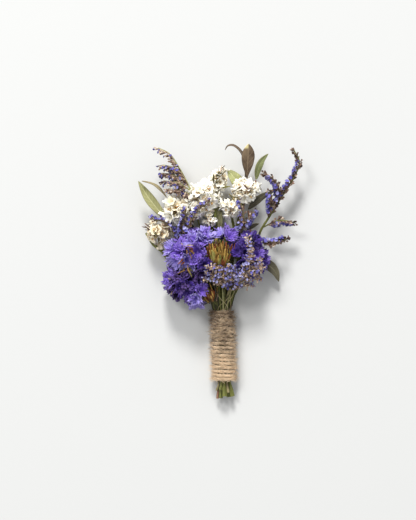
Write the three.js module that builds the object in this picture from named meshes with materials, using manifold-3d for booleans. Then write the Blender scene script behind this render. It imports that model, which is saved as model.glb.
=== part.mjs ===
// A dried-flower boutonniere lying on its back: stalks of violet and white statice, sprays of sea
// lavender and leafy twigs, bound at the stems with jute twine. Millimetres, +Z up. The stems run along
// Y with the flowers towards +Y, and the origin is under the middle of the twine, on the surface.
import * as THREE from "three";
import { mergeVertices } from "three/addons/utils/BufferGeometryUtils.js";
import Module from "manifold-3d";

const wasm = await Module();
wasm.setup();

// Driving dimensions of the binding and the stem bundle
const wrapLength = 35;
const twineThickness = 1.86;
const twinePitch = 2.06;
const wrapHalfWidth = 5.7;
const wrapHalfHeight = 4.7;
const pressedFlat = 0.3;
const bundleLean = THREE.MathUtils.degToRad(1.7);
const bundleHeight = wrapHalfHeight - pressedFlat;
const laneRadius = 0.5;
const laneStep = 1.35;
const laneRow = 0.67;
const outerLaneStep = 1.3;
const outerLaneRow = 1.85;

// Driving dimensions of the flowers and leaves
const clearance = 0.3;
const shortestEdge = 0.1;
const petalWall = 0.6;
const leafThickness = 0.7;
const calyxLength = 8.4;
const calyxRim = 4.6;
const whiteLength = 5.2;
const whiteRim = 2.9;
const budLength = 3.9;
const budRadius = 0.9;

const colours = {
  jute: "#b8946a",
  greenStem: "#6f7340",
  brownTwig: "#8a6a52",
  oliveLeaf: "#a9a571",
  paleLeaf: "#b4b57c",
  brownLeaf: "#76654d",
  darkLeaf: "#5d5a45",
  violet: "#6a50ab",
  deepViolet: "#46307e",
  white: "#efeade",
  bract: "#a3803c",
  lavenderStem: "#6f6552",
};

const vec = (x, y, z) => new THREE.Vector3(x, y, z);
const zAxis = vec(0, 0, 1);

// A repeatable stream of numbers from 0 to 1.
function seeded(seed) {
  let state = seed;
  return () => {
    state = (state * 16807) % 2147483647;
    return state / 2147483647;
  };
}

// A closed solid from points and triangles, turned to face out.
function solidFrom(points, triangles) {
  let volume = 0;
  for (const [a, b, c] of triangles) {
    volume += points[a].dot(points[b].clone().cross(points[c]));
  }
  const facing = volume < 0 ? triangles.map(([a, b, c]) => [a, c, b]) : triangles;
  return new wasm.Manifold(
    new wasm.Mesh({
      numProp: 3,
      vertProperties: new Float32Array(points.flatMap((p) => [p.x, p.y, p.z])),
      triVerts: new Uint32Array(facing.flat()),
    }),
  );
}

// A closed solid from one of three.js's own shapes.
function solidOf(geometry) {
  const plain = geometry.clone();
  plain.deleteAttribute("normal");
  plain.deleteAttribute("uv");
  const merged = mergeVertices(plain, 1e-4);
  return new wasm.Manifold(
    new wasm.Mesh({
      numProp: 3,
      vertProperties: new Float32Array(merged.attributes.position.array),
      triVerts: new Uint32Array(merged.index.array),
    }),
  );
}

// A box that fills the space beyond a plane.
function spaceBeyond(point, normal) {
  const size = 200;
  const box = new THREE.BoxGeometry(size, size, size);
  const turn = new THREE.Quaternion().setFromUnitVectors(zAxis, normal.clone().normalize());
  box.applyQuaternion(turn);
  const centre = point.clone().addScaledVector(normal.clone().normalize(), size / 2);
  box.translate(centre.x, centre.y, centre.z);
  return solidOf(box);
}

const tabletop = spaceBeyond(vec(0, 0, 0), vec(0, 0, -1));

function fuse(parts) {
  return wasm.Manifold.union(parts);
}

// The largest body of a solid, without loose scraps.
function mainBody(solid) {
  const bodies = solid.decompose();
  return bodies.reduce((best, b) => (b.volume() > best.volume() ? b : best));
}

// Joins rings of points into a closed solid. The sides named in turned take their other diagonal.
function loft(rings, turned = []) {
  const sides = rings[0].length;
  const points = rings.flat();
  const triangles = [];
  for (let i = 0; i + 1 < rings.length; i++) {
    for (let j = 0; j < sides; j++) {
      const a = i * sides + j;
      const b = i * sides + ((j + 1) % sides);
      const c = b + sides;
      const d = a + sides;
      if (turned.includes(j)) {
        triangles.push([a, b, d], [b, c, d]);
      } else {
        triangles.push([a, b, c], [a, c, d]);
      }
    }
  }
  const lastRing = (rings.length - 1) * sides;
  for (const [start, flip] of [[0, true], [lastRing, false]]) {
    const middle = points.length;
    const centre = vec(0, 0, 0);
    for (let j = 0; j < sides; j++) {
      centre.addScaledVector(points[start + j], 1 / sides);
    }
    points.push(centre);
    for (let j = 0; j < sides; j++) {
      const a = start + j;
      const b = start + ((j + 1) % sides);
      triangles.push(flip ? [middle, b, a] : [middle, a, b]);
    }
  }
  return solidFrom(points, triangles);
}

// The side and up directions across a path, with up as near to the hint as the path allows.
function crossways(tangent, hint) {
  const side = tangent.clone().cross(hint).normalize();
  return { side, up: side.clone().cross(tangent).normalize() };
}

// A stem along points given as [x, y, z, radius]. Wings above 1 make a winged, star-shaped section.
// Its first straight spans take one step each, and the bent ones after them two.
function stem(points, { sides = 5, wings = 1, straight = 0, grow = 0 } = {}) {
  const curve = new THREE.CatmullRomCurve3(points.map(([x, y, z]) => vec(x, y, z)), false, "centripetal");
  const spans = points.length - 1;
  const stops = [];
  for (let i = 0; i < spans; i++) {
    stops.push(i);
    if (i >= straight) stops.push(i + 0.5);
  }
  stops.push(spans);
  const rings = stops.map((stop) => {
    const span = Math.min(Math.floor(stop), spans - 1);
    const radius = THREE.MathUtils.lerp(points[span][3], points[span + 1][3], stop - span);
    const centre = curve.getPoint(stop / spans);
    const { side, up } = crossways(curve.getTangent(stop / spans), zAxis);
    const winged = wings > 1 && radius > laneRadius * 1.1;
    const ring = [];
    for (let j = 0; j < sides; j++) {
      const angle = (2 * Math.PI * j) / sides + 0.5;
      const reach = grow + radius * (winged && j % 2 ? 1 / wings : 1);
      ring.push(
        centre
          .clone()
          .addScaledVector(side, reach * Math.cos(angle))
          .addScaledVector(up, reach * Math.sin(angle)),
      );
    }
    return ring;
  });
  return loft(rings);
}

// A leaf blade along points given as [x, y, z]. Roll turns it about its length, fold raises its edges,
// and a higher taper brings its broadest place nearer to its tip.
function blade(points, shape) {
  const { width, roll = 0, fold = 0.2, taper = 0.85, steps = 6 } = shape;
  const { thickness = leafThickness, hint = zAxis } = shape;
  const curve = new THREE.CatmullRomCurve3(points.map(([x, y, z]) => vec(x, y, z)), false, "centripetal");
  const rings = [];
  for (let i = 0; i <= steps; i++) {
    const t = i / steps;
    const centre = curve.getPointAt(t);
    const tangent = curve.getTangentAt(t);
    const { side, up } = crossways(tangent, hint);
    side.applyAxisAngle(tangent, roll);
    up.applyAxisAngle(tangent, roll);
    const half = Math.max(0.4, (width / 2) * Math.sin(Math.PI * Math.pow(t, taper)) ** 0.75);
    const at = (across, above) =>
      centre
        .clone()
        .addScaledVector(side, across * half)
        .addScaledVector(up, above * (thickness / 2) + Math.abs(across) * half * fold);
    rings.push([at(-1, 0.8), at(0, 1), at(1, 0.8), at(1, -0.8), at(0, -1), at(-1, -0.8)]);
  }
  return loft(rings, [3, 4]);
}

// A papery funnel with a frilled rim, its point at the origin and its mouth towards +Z.
function funnel({ length, rim, columns, frill }) {
  const points = [vec(0, 0, -0.4), vec(0, 0, petalWall * 1.6)];
  for (const away of [0.5, -0.5]) {
    for (let j = 0; j < columns; j++) {
      const angle = (2 * Math.PI * j) / columns;
      const wave = j % 2 ? -1 : 1;
      const radius = rim * (1 + 0.1 * wave) + away * petalWall * 0.9;
      const height = length + frill * wave - away * petalWall * 0.6;
      points.push(vec(radius * Math.cos(angle), radius * Math.sin(angle), height));
    }
  }
  const triangles = [];
  for (let j = 0; j < columns; j++) {
    const outer = 2 + j;
    const nextOuter = 2 + ((j + 1) % columns);
    const inner = outer + columns;
    const nextInner = nextOuter + columns;
    triangles.push([0, nextOuter, outer], [1, inner, nextInner]);
    triangles.push([outer, nextOuter, nextInner], [outer, nextInner, inner]);
  }
  return solidFrom(points, triangles);
}

const violetCalyx = funnel({ length: calyxLength, rim: calyxRim, columns: 8, frill: 1 });
const whiteCup = funnel({ length: whiteLength, rim: whiteRim, columns: 9, frill: 0.6 });

// Moves a shape that points along +Z so that it stands at a point and faces a direction.
function planted(shape, point, direction, spin = 0, scale = 1) {
  const turn = new THREE.Quaternion().setFromUnitVectors(zAxis, direction.clone().normalize());
  turn.multiply(new THREE.Quaternion().setFromAxisAngle(zAxis, spin));
  const place = new THREE.Matrix4().compose(point, turn, vec(scale, scale, scale));
  return shape.transform(place.elements);
}

// Directions in rings round an axis, each ring given as [degrees from the axis, how many].
function ringDirections(axis, rings, phase) {
  const turn = new THREE.Quaternion().setFromUnitVectors(zAxis, axis.clone().normalize());
  const directions = [];
  rings.forEach(([degrees, count], ring) => {
    for (let k = 0; k < count; k++) {
      const polar = THREE.MathUtils.degToRad(degrees + 5 * Math.sin(2.4 * k + phase));
      const azimuth = (2 * Math.PI * (k + ring * 0.5)) / count + phase;
      const local = vec(
        Math.sin(polar) * Math.cos(azimuth), Math.sin(polar) * Math.sin(azimuth), Math.cos(polar),
      );
      directions.push(local.applyQuaternion(turn));
    }
  });
  return directions;
}

// A head of flowers on a small core: violet calyces or white cups that radiate from it.
function flowerHead({ core, axis, rings, scale, coreRadius, lower = [] }, flower) {
  const centre = vec(...core);
  const heart = new THREE.IcosahedronGeometry(coreRadius * 1.1);
  heart.translate(centre.x, centre.y, centre.z);
  const upper = ringDirections(vec(...axis), rings, core[0]);
  const under = lower.map((direction) => vec(...direction).normalize());
  const flowers = [...upper, ...under].map((direction, k) => {
    const root = centre.clone().addScaledVector(direction, coreRadius * 0.55);
    const size = scale * (k % 3 === 1 ? 0.92 : 1);
    return planted(flower, root, direction, k * 0.7, size);
  });
  return fuse([solidOf(heart), ...flowers]);
}

// One small floret of sea lavender: a three-sided calyx that widens from its foot to its mouth.
function floret(root, direction, size, grow = 0) {
  const { side, up } = crossways(direction, Math.abs(direction.z) > 0.9 ? vec(0, 1, 0) : zAxis);
  const mouth = [0, 1, 2].map((j) => {
    const angle = (2 * Math.PI * j) / 3;
    return root
      .clone()
      .addScaledVector(direction, (j ? 0.85 : 1) * budLength * size + grow)
      .addScaledVector(side, (budRadius * size + grow) * Math.cos(angle))
      .addScaledVector(up, (budRadius * size + grow) * Math.sin(angle));
  });
  const foot = root.clone().addScaledVector(direction, -0.2);
  return solidFrom([foot, ...mouth], [[0, 2, 1], [0, 3, 2], [0, 1, 3], [1, 2, 3]]);
}

// The middle line of the stem bundle: a point at a distance along it, and the way across it.
const bundleAlong = vec(-Math.sin(bundleLean), Math.cos(bundleLean), 0);
const bundleAcross = vec(Math.cos(bundleLean), Math.sin(bundleLean), 0);
function inBundle(along, across, above) {
  return vec(0, 0, bundleHeight + above)
    .addScaledVector(bundleAlong, along)
    .addScaledVector(bundleAcross, across);
}

// The binding: one twine in close turns round the bundle, counted from the middle of its underside.
function twinePoint(turn) {
  const angle = turn * 2 * Math.PI - Math.PI / 2;
  const across = (wrapHalfWidth - twineThickness / 2) * Math.cos(angle);
  const above = (wrapHalfHeight - twineThickness / 2) * Math.sin(angle);
  return inBundle(turn * twinePitch, across, above);
}

function twineWrap() {
  const sides = 5;
  const stepsPerTurn = 9;
  const stepsEachWay = Math.floor((wrapLength / 2 / twinePitch) * stepsPerTurn);
  const rings = [];
  for (let i = -stepsEachWay; i <= stepsEachWay; i++) {
    const turn = i / stepsPerTurn;
    const centre = twinePoint(turn);
    const outward = centre.clone().sub(inBundle(turn * twinePitch, 0, 0)).normalize();
    const ring = [];
    for (let j = 0; j < sides; j++) {
      const angle = (2 * Math.PI * j) / sides;
      ring.push(
        centre
          .clone()
          .addScaledVector(outward, (twineThickness / 2) * Math.cos(angle))
          .addScaledVector(bundleAlong, (twineThickness / 2) * Math.sin(angle)),
      );
    }
    rings.push(ring);
  }
  return loft(rings).subtract(tabletop);
}

// The sixteen places for stems inside the twine, in four rows from the back to the front.
function lane(row, column) {
  const outer = row === 1 || row === 4;
  const above = { 1: -outerLaneRow, 2: -laneRow, 3: laneRow, 4: outerLaneRow }[row];
  return { across: column * (outer ? outerLaneStep : laneStep), above };
}

// A stalk's points: its cut end below the twine, its lane through it, then its own way up to the flowers.
function stalkPoints({ row, column, cut, endRadius, endAcross }, way) {
  const { across, above } = lane(row, column);
  const splay = endAcross ?? across * 1.45;
  const low = inBundle(cut, splay, above * 1.2);
  const nearWrap = inBundle(-wrapLength / 2 - 1.2, across, above);
  const points = [
    [low.x, low.y, low.z, endRadius],
    [nearWrap.x, nearWrap.y, nearWrap.z, laneRadius],
  ];
  for (const along of [-12, 12, wrapLength / 2 + 1]) {
    const p = inBundle(along, across, above);
    points.push([p.x, p.y, p.z, laneRadius]);
  }
  return [...points, ...wayTo(way)];
}

// A way's points, with a head's or a fan's name at its end as the point where the stem is sunk into it.
function wayTo(way) {
  return way.map((point) => {
    if (typeof point !== "string") return point;
    const carried = violetBlooms[point] ?? whiteHeads[point] ?? bractFans[point];
    if (carried.core) return [...carried.core, 0.55];
    const [x, y, z] = carried.foot;
    const inside = vec(...carried.along).normalize().multiplyScalar(1.6);
    return [x + inside.x, y + inside.y, z + inside.z, 0.55];
  });
}

// A branch that carries a head or a fan of bracts ends with its name.
const stalks = {
  twig_left: {
    lane: { row: 2, column: -2, cut: -26, endRadius: 0.6, endAcross: -3.6 },
    way: [
      [-8, 27, 3.2, 0.6], [-14, 39, 2.6, 0.6], [-21, 51, 3.6, 0.55], [-25.8, 60, 5.6, 0.5],
      [-27.4, 71.6, 8.8, 0.42],
    ],
    branches: [[[-25.2, 58.5, 5.3, 0.45], [-26.8, 60.2, 6, 0.42], [-28.3, 61.7, 7, 0.4]]],
    colour: "brownTwig",
  },
  twig_top: {
    lane: { row: 1, column: 0, cut: -19.5, endRadius: 0.46 },
    way: [
      [0.3, 30, 1.7, 0.55], [2.4, 45, 1.5, 0.55], [6.5, 58, 1.6, 0.55], [10.2, 69, 2.2, 0.5],
      [11.2, 75.6, 4.4, 0.45], [11.6, 80.8, 7.8, 0.42],
    ],
    branches: [
      [[11, 74, 3.8, 0.45], [13.8, 77.4, 5.8, 0.42], [15.9, 80.3, 8, 0.4]],
      [[9.6, 67, 2.1, 0.45], [9.2, 71.5, 3.6, 0.42], [8.4, 76.1, 5, 0.4]],
    ],
    colour: "brownTwig",
  },
  twig_right: {
    lane: { row: 1, column: 1, cut: -21, endRadius: 0.5 },
    way: [
      [4.4, 29, 1.9, 0.55], [9.5, 38, 1.9, 0.55], [12.4, 47, 2.2, 0.55], [13.2, 56, 4, 0.5],
      [12.15, 65.7, 7.8, 0.42],
    ],
    branches: [
      [[9, 37, 1.9, 0.45], [14, 39.2, 2.4, 0.42], [17.8, 40.2, 3.7, 0.4]],
      [[12.9, 51, 2.8, 0.45], [11.8, 53.8, 5.6, 0.42], [11.35, 55.9, 8.4, 0.4]],
    ],
    colour: "brownTwig",
  },
  white_stalk_left: {
    lane: { row: 2, column: -1, cut: -25.2, endRadius: 1.1 },
    way: [[-6.2, 28, 4.4, 1], [-12, 40, 5.2, 1], [-17.6, 52, 5.6, 0.9], "white_head_left"],
    branches: [
      [
        [-7.4, 30.5, 4.6, 0.8], [-17, 35.5, 4.4, 0.9], [-26, 41, 4.8, 0.9], [-30, 47, 6, 0.7],
        "white_head_far_left",
      ],
      [[-29.4, 45.6, 5.7, 0.5], [-34, 49.4, 7, 0.6], [-37.6, 54.8, 8.4, 0.45]],
      [[-15.5, 48.5, 5.5, 0.6], [-15, 58, 6.6, 0.6], "white_head_mid_left"],
    ],
    colour: "greenStem",
    wings: 1.9,
  },
  white_stalk_centre: {
    lane: { row: 2, column: 0, cut: -24.4, endRadius: 1 },
    way: [[-1, 30, 4.7, 0.9], [-2.4, 45, 5.2, 0.9], [-4.4, 60, 6.2, 0.8], "white_head_centre"],
    branches: [
      [[-3.8, 57, 6, 0.6], [-2.6, 69, 6.4, 0.6], "white_head_top"],
      [[-3.4, 52, 5.6, 0.5], [-5.4, 56.6, 7, 0.5], "white_head_mid_small"],
    ],
    colour: "greenStem",
    wings: 1.9,
  },
  white_stalk_right: {
    lane: { row: 2, column: 1, cut: -25.4, endRadius: 1.1 },
    way: [[2.6, 30, 4.5, 0.9], [4.8, 45, 5, 0.9], [7.4, 60, 5.8, 0.8], "white_head_right"],
    branches: [[[6.2, 54, 5.6, 0.5], [4.6, 60.4, 7, 0.5], "white_head_mid_right"]],
    colour: "greenStem",
    wings: 1.9,
  },
  violet_stalk_left: {
    lane: { row: 3, column: -1, cut: -25.7, endRadius: 1.1 },
    way: [[-5, 26, 6.8, 1], [-9, 35, 8.2, 1], "violet_bloom_top_left"],
    branches: [
      [[-8.6, 34, 8.1, 0.7], [-14, 39.5, 9.2, 0.7], "violet_bloom_left"],
      [[-7.4, 31.4, 7.7, 0.6], [-8.8, 36, 10.6, 0.6], "violet_bloom_centre"],
    ],
    colour: "greenStem",
    wings: 1.9,
  },
  violet_stalk_lower: {
    lane: { row: 4, column: -1, cut: -21.5, endRadius: 0.8 },
    way: [[-4.2, 21.5, 7.4, 0.8], [-9, 27.4, 7.2, 0.9], "violet_bloom_lower_left"],
    branches: [
      [[-5, 22.6, 7.4, 0.6], [-8.2, 24.4, 8.4, 0.6], "violet_bloom_bottom"],
      [[-3.6, 20.4, 7.4, 0.45], [-4.4, 21.4, 8.6, 0.45], "bract_fan_low"],
    ],
    colour: "greenStem",
    wings: 1.9,
  },
  violet_stalk_centre: {
    lane: { row: 4, column: 0, cut: -24.8, endRadius: 1 },
    way: [[-0.8, 24, 8.4, 0.9], [-0.8, 30, 11, 0.8], "bract_fan_centre"],
    branches: [],
    colour: "greenStem",
    wings: 1.9,
  },
  violet_stalk_right: {
    lane: { row: 3, column: 2, cut: -25, endRadius: 1.1 },
    way: [[5, 27, 6.6, 1], [6.4, 36, 8.4, 1], "violet_bloom_right"],
    branches: [
      [[5.4, 30, 7.2, 0.7], [3.2, 40, 8.8, 0.7], "violet_bloom_top"],
      [[6.2, 35, 8.2, 0.7], [9.4, 42, 8.2, 0.7], "violet_bloom_side_top"],
      [[5.8, 32, 7.6, 0.7], [11, 37.6, 7.2, 0.6], "violet_bloom_side"],
    ],
    colour: "greenStem",
    wings: 1.9,
  },
};

// Sea lavender: each spray's stem, and branches as [points, florets on it, side that they lean to].
const sprays = {
  sea_lavender_top_left: {
    lane: { row: 1, column: -1, cut: -20, endRadius: 0.45 },
    way: [
      [-3.4, 28, 1.8, 0.45], [-7.4, 44, 2, 0.45], [-12, 60, 4.4, 0.45], [-14.6, 72.3, 10.4, 0.45],
      [-17, 78.1, 11.4, 0.42], [-22.3, 87.8, 12.4, 0.38], [-26.2, 93.1, 12.6, 0.34], [-33, 96.3, 12, 0.3],
    ],
    flowers: { from: 0.85, to: 1, count: 7, side: 1 },
    branches: [
      {
        points: [[-19.7, 83.4, 12.1, 0.34], [-24.4, 86.4, 13.4, 0.32], [-29.4, 87.6, 13, 0.28]],
        count: 6, side: 1,
      },
      {
        points: [[-17.6, 79.2, 11.6, 0.34], [-23.4, 82.4, 14, 0.32], [-29.4, 83.6, 13.2, 0.28]],
        count: 7, side: 1,
      },
      {
        points: [[-16, 75.4, 11.05, 0.34], [-22, 78.9, 14.8, 0.32], [-28.8, 79.9, 13.4, 0.28]],
        count: 7, side: 1,
      },
      {
        points: [[-14.9, 72.9, 10.6, 0.34], [-20.4, 75.2, 15.2, 0.32], [-26.6, 76, 14, 0.28]],
        count: 6, side: 1,
      },
    ],
  },
  sea_lavender_right: {
    lane: { row: 2, column: 2, cut: -22.5, endRadius: 0.6 },
    way: [
      [6.6, 27, 4.1, 0.6], [11.6, 36.5, 4.2, 0.6], [15.8, 46.5, 4.6, 0.6], [18, 55.3, 6, 0.6],
      [22.3, 62.6, 7.6, 0.55], [27.4, 71, 9.4, 0.5], [33.8, 81, 11.2, 0.42], [36.8, 89, 12, 0.34],
      [34, 95.1, 12, 0.3],
    ],
    flowers: { from: 0.74, to: 1, count: 15, side: 1 },
    branches: [
      {
        points: [
          [26.4, 69.4, 9.1, 0.35], [27, 75.7, 11.4, 0.33], [23.6, 81.2, 12.2, 0.3], [19.6, 83.8, 12, 0.28],
        ],
        count: 8, side: 1,
      },
      {
        points: [[24.6, 66.4, 8.4, 0.35], [23.2, 70.4, 11, 0.32], [22.6, 75, 12, 0.28]],
        count: 5, side: 1,
      },
      {
        points: [
          [19.4, 57.6, 6.5, 0.35], [25.7, 60.6, 8.6, 0.33], [30, 60.8, 9.4, 0.3], [34.9, 59.7, 9.4, 0.28],
        ],
        count: 5, side: -1,
      },
      {
        points: [
          [17, 50.4, 5.1, 0.35], [22.4, 49.6, 8.4, 0.33], [26.6, 50.4, 10, 0.3], [31, 51.9, 10.4, 0.28],
        ],
        count: 7, side: 1,
      },
    ],
  },
  sea_lavender_left: {
    lane: { row: 3, column: -2, cut: -22, endRadius: 0.6 },
    way: [
      [-7.6, 26.6, 5.6, 0.6], [-13.6, 38, 6.6, 0.55], [-19.6, 48.5, 7, 0.5], [-24.4, 55, 10.6, 0.42],
      [-28.6, 60, 12.6, 0.36], [-34.9, 61.6, 12.8, 0.3],
    ],
    flowers: { from: 0.8, to: 1, count: 8, side: -1 },
    branches: [
      {
        points: [
          [-18.4, 46.6, 6.9, 0.35], [-17.4, 56, 13, 0.33], [-12, 65.6, 17, 0.3], [-6.3, 69.8, 17.4, 0.28],
        ],
        count: 9, side: 1,
      },
      {
        points: [[-20.4, 49.8, 7.4, 0.35], [-19.6, 57.4, 14, 0.33], [-18, 66, 17, 0.28]],
        count: 6, side: 1,
      },
    ],
  },
  sea_lavender_centre: {
    lane: { row: 3, column: 1, cut: -20.5, endRadius: 0.55 },
    way: [
      [2.6, 27.6, 6.2, 0.55], [3, 38, 6.6, 0.5], [5.8, 49, 7.2, 0.48], [9.4, 57.2, 12.6, 0.42],
      [9.6, 63.5, 17, 0.34], [8, 69.4, 18, 0.28],
    ],
    flowers: { from: 0.8, to: 1, count: 7, side: 1 },
    branches: [
      { points: [[9.2, 56.4, 11.9, 0.35], [11.6, 60.6, 15, 0.32], [15, 65, 16, 0.28]], count: 6, side: -1 },
    ],
  },
  sea_lavender_front: {
    lane: { row: 4, column: 1, cut: -23, endRadius: 0.7 },
    way: [[1.4, 22.6, 8.8, 0.6], [3, 27.4, 12.6, 0.5], [4.2, 32.4, 16.6, 0.42], [5.6, 38.4, 20.4, 0.3]],
    flowers: { from: 0.86, to: 1, count: 5, side: 1 },
    branches: [
      {
        points: [
          [3.9, 31, 15.4, 0.35], [9, 35.4, 18.6, 0.33], [14, 37.4, 19.4, 0.3], [19, 37.6, 18.4, 0.28],
        ],
        count: 10, side: 1,
      },
      {
        points: [
          [3.4, 28.8, 13.6, 0.35], [8.4, 31.4, 16.4, 0.33], [13, 32.6, 17.4, 0.3], [17.4, 32.4, 17, 0.28],
        ],
        count: 9, side: 1,
      },
      {
        points: [
          [2.6, 26.4, 11.8, 0.35], [6.6, 28.2, 14.2, 0.33], [10.4, 29.4, 15.2, 0.3], [13.4, 29.2, 15, 0.28],
        ],
        count: 7, side: 1,
      },
      {
        points: [
          [3.6, 29.8, 14.4, 0.35], [0.8, 34.4, 19, 0.33], [-3, 37.4, 21.6, 0.3], [-7.4, 38, 22.4, 0.28],
        ],
        count: 8, side: -1,
      },
      {
        points: [
          [2.8, 27, 12.2, 0.35], [-0.8, 29.8, 16.2, 0.33], [-4.6, 31.6, 19, 0.3], [-9.2, 32, 20.6, 0.28],
        ],
        count: 8, side: -1,
      },
    ],
  },
};

const leaves = {
  leaf_left_broad: {
    points: [[-28.5, 62.2, 7.4], [-32.4, 67, 8.8], [-37, 73, 9.8], [-41.2, 80, 10.4]],
    width: 5.2, roll: 0.25, colour: "oliveLeaf",
  },
  leaf_left_narrow: {
    points: [[-27.6, 72.2, 9.2], [-30.6, 75.8, 10.6], [-34.8, 78.6, 11.8], [-39.4, 79.9, 12.6]],
    width: 3, roll: 1.15, colour: "oliveLeaf",
  },
  leaf_top_curled: {
    points: [
      [10.9, 80.4, 7.2], [10.9, 85.4, 6.3], [10.3, 90, 7.6], [8, 94.8, 11], [4.6, 97.2, 12.6],
      [2, 96.8, 12.6], [0.9, 94.9, 12.2],
    ],
    width: 2.6, roll: 0.9, steps: 9, colour: "brownLeaf",
  },
  leaf_top_brown: {
    points: [[11.7, 81.3, 8.3], [11.7, 87, 9.6], [12, 92.6, 10.4], [12.3, 98, 11]],
    width: 6.6, roll: 0.15, fold: 0.25, taper: 1.45, colour: "brownLeaf",
  },
  leaf_top_green: {
    points: [[16, 80.8, 8.5], [16.6, 85, 10], [18.4, 89.6, 10.8], [21.8, 93.2, 11]],
    width: 3.7, roll: 0.45, colour: "paleLeaf",
  },
  leaf_top_pale: {
    points: [[8.3, 76.6, 5.4], [7, 79.4, 7], [4.6, 82.6, 8.4], [2, 85.6, 9.2]],
    width: 6.4, roll: 0.35, fold: 0.12, colour: "paleLeaf",
  },
  leaf_right_long: {
    points: [[12.2, 66.3, 8.1], [15.6, 69.9, 10], [19.4, 72.8, 12], [24.2, 74.6, 13]],
    width: 3.6, roll: 0.2, colour: "brownLeaf",
  },
  leaf_right_small: {
    points: [[11.5, 56.4, 8.8], [13.4, 57.8, 9.8], [15.4, 58.8, 10.2], [17.4, 59.3, 10]],
    width: 2.4, roll: 0.5, colour: "darkLeaf",
  },
  leaf_right_low: {
    points: [[18.2, 40.3, 4], [21.6, 39.4, 4.8], [25.2, 36.2, 4.8], [27.3, 31, 3.8]],
    width: 5.2, roll: -0.2, fold: 0.3, taper: 0.6, colour: "darkLeaf",
  },
  leaf_centre: {
    points: [[-3, 50.5, 6.9], [-2.3, 57, 8.9], [-2, 65, 9.6], [-2.4, 71.6, 9.8]],
    width: 3.6, roll: 0.1, colour: "oliveLeaf",
  },
  leaf_bloom_low: {
    points: [[-5.6, 22, 6], [-10, 20.6, 5.4], [-15, 20.2, 5.6], [-19.4, 21.8, 6]],
    width: 2.6, roll: 0.4, colour: "darkLeaf",
  },
};

// Flowers in lower are extra ones on the underside, which the part rests on.
const violetBlooms = {
  violet_bloom_left: {
    core: [-19.6, 44.6, 12.6], axis: [-0.65, 0.1, 0.75],
    rings: [[0, 1], [62, 5]],
    scale: 0.92, coreRadius: 2.4, colour: "violet",
  },
  violet_bloom_top_left: {
    core: [-10.8, 47.4, 13.6], axis: [-0.2, 0.35, 0.9],
    rings: [[0, 1], [58, 6]],
    scale: 1.02, coreRadius: 2.8, colour: "violet",
  },
  violet_bloom_top: {
    core: [0.6, 50.2, 13], axis: [0.05, 0.5, 0.84],
    rings: [[0, 1], [62, 4]],
    scale: 0.82, coreRadius: 2.3, colour: "violet",
  },
  violet_bloom_right: {
    core: [7.6, 44.2, 14], axis: [0.15, 0.1, 0.95],
    rings: [[0, 1], [62, 5]],
    scale: 0.82, coreRadius: 2.3, colour: "deepViolet",
  },
  violet_bloom_side_top: {
    core: [12.4, 49.4, 10.6], axis: [0.3, 0.45, 0.8],
    rings: [[0, 1], [64, 4]],
    scale: 0.72, coreRadius: 2, colour: "violet",
  },
  violet_bloom_side: {
    core: [15, 42.4, 8.7], axis: [0.5, 0.05, 0.8],
    rings: [[0, 1], [66, 4]], lower: [[0.5, -0.35, -0.8]],
    scale: 0.78, coreRadius: 2, colour: "deepViolet",
  },
  violet_bloom_centre: {
    core: [-10, 40.2, 15], axis: [-0.1, -0.1, 0.97],
    rings: [[0, 1], [60, 4]],
    scale: 0.82, coreRadius: 2.3, colour: "deepViolet",
  },
  violet_bloom_lower_left: {
    core: [-18.8, 31.6, 9.4], axis: [-0.6, -0.1, 0.65],
    rings: [[30, 3], [80, 5]], lower: [[-0.35, 0, -0.9]],
    scale: 1.1, coreRadius: 2.8, colour: "deepViolet",
  },
  violet_bloom_bottom: {
    core: [-13, 25.8, 11.6], axis: [-0.25, -0.45, 0.85],
    rings: [[0, 1], [62, 5]],
    scale: 0.78, coreRadius: 2.2, colour: "violet",
  },
};

const whiteHeads = {
  white_head_left: {
    core: [-22.3, 66.4, 9.2], axis: [-0.15, 0.15, 0.95],
    rings: [[30, 3], [84, 5]],
    scale: 1.1, coreRadius: 2.4,
  },
  white_head_far_left: {
    core: [-31.4, 54.8, 8.8], axis: [-0.1, 0.15, 0.95],
    rings: [[0, 1], [66, 5]],
    scale: 0.96, coreRadius: 2,
  },
  white_head_mid_left: {
    core: [-14.8, 67.2, 9.4], axis: [0, 0.1, 0.98],
    rings: [[0, 1], [62, 4]],
    scale: 1, coreRadius: 2,
  },
  white_head_centre: {
    core: [-8.2, 72.8, 8.8], axis: [-0.05, 0.25, 0.95],
    rings: [[30, 3], [84, 5]], lower: [[-0.1, 0.25, -0.95]],
    scale: 1.2, coreRadius: 2.6,
  },
  white_head_top: {
    core: [-1.9, 80.4, 9.4], axis: [0, 0.5, 0.85],
    rings: [[0, 1], [64, 5]],
    scale: 0.88, coreRadius: 1.8,
  },
  white_head_right: {
    core: [11, 75.8, 10], axis: [0, 0.2, 0.95],
    rings: [[30, 3], [84, 5]],
    scale: 0.98, coreRadius: 2.2,
  },
  white_head_mid_right: {
    core: [3.6, 67, 10.6], axis: [-0.05, 0.1, 0.97],
    rings: [[0, 1], [62, 4]],
    scale: 0.8, coreRadius: 1.7,
  },
  white_head_mid_small: {
    core: [-6.6, 61.4, 10], axis: [-0.1, 0, 0.97],
    rings: [[30, 3]],
    scale: 0.6, coreRadius: 1.4,
  },
};

// Papery bracts in a closed fan, as under a spike of statice seen from its back.
const bractFans = {
  bract_fan_centre: {
    foot: [-1.9, 38, 15], along: [-0.06, 0.8, 0.6], length: 13.6, width: 5.2, depth: 3.4, count: 7,
  },
  bract_fan_low: {
    foot: [-5, 21.6, 10.4], along: [-0.35, 0.8, 0.5], length: 8.6, width: 3.3, depth: 2.4, count: 4,
  },
};

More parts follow.
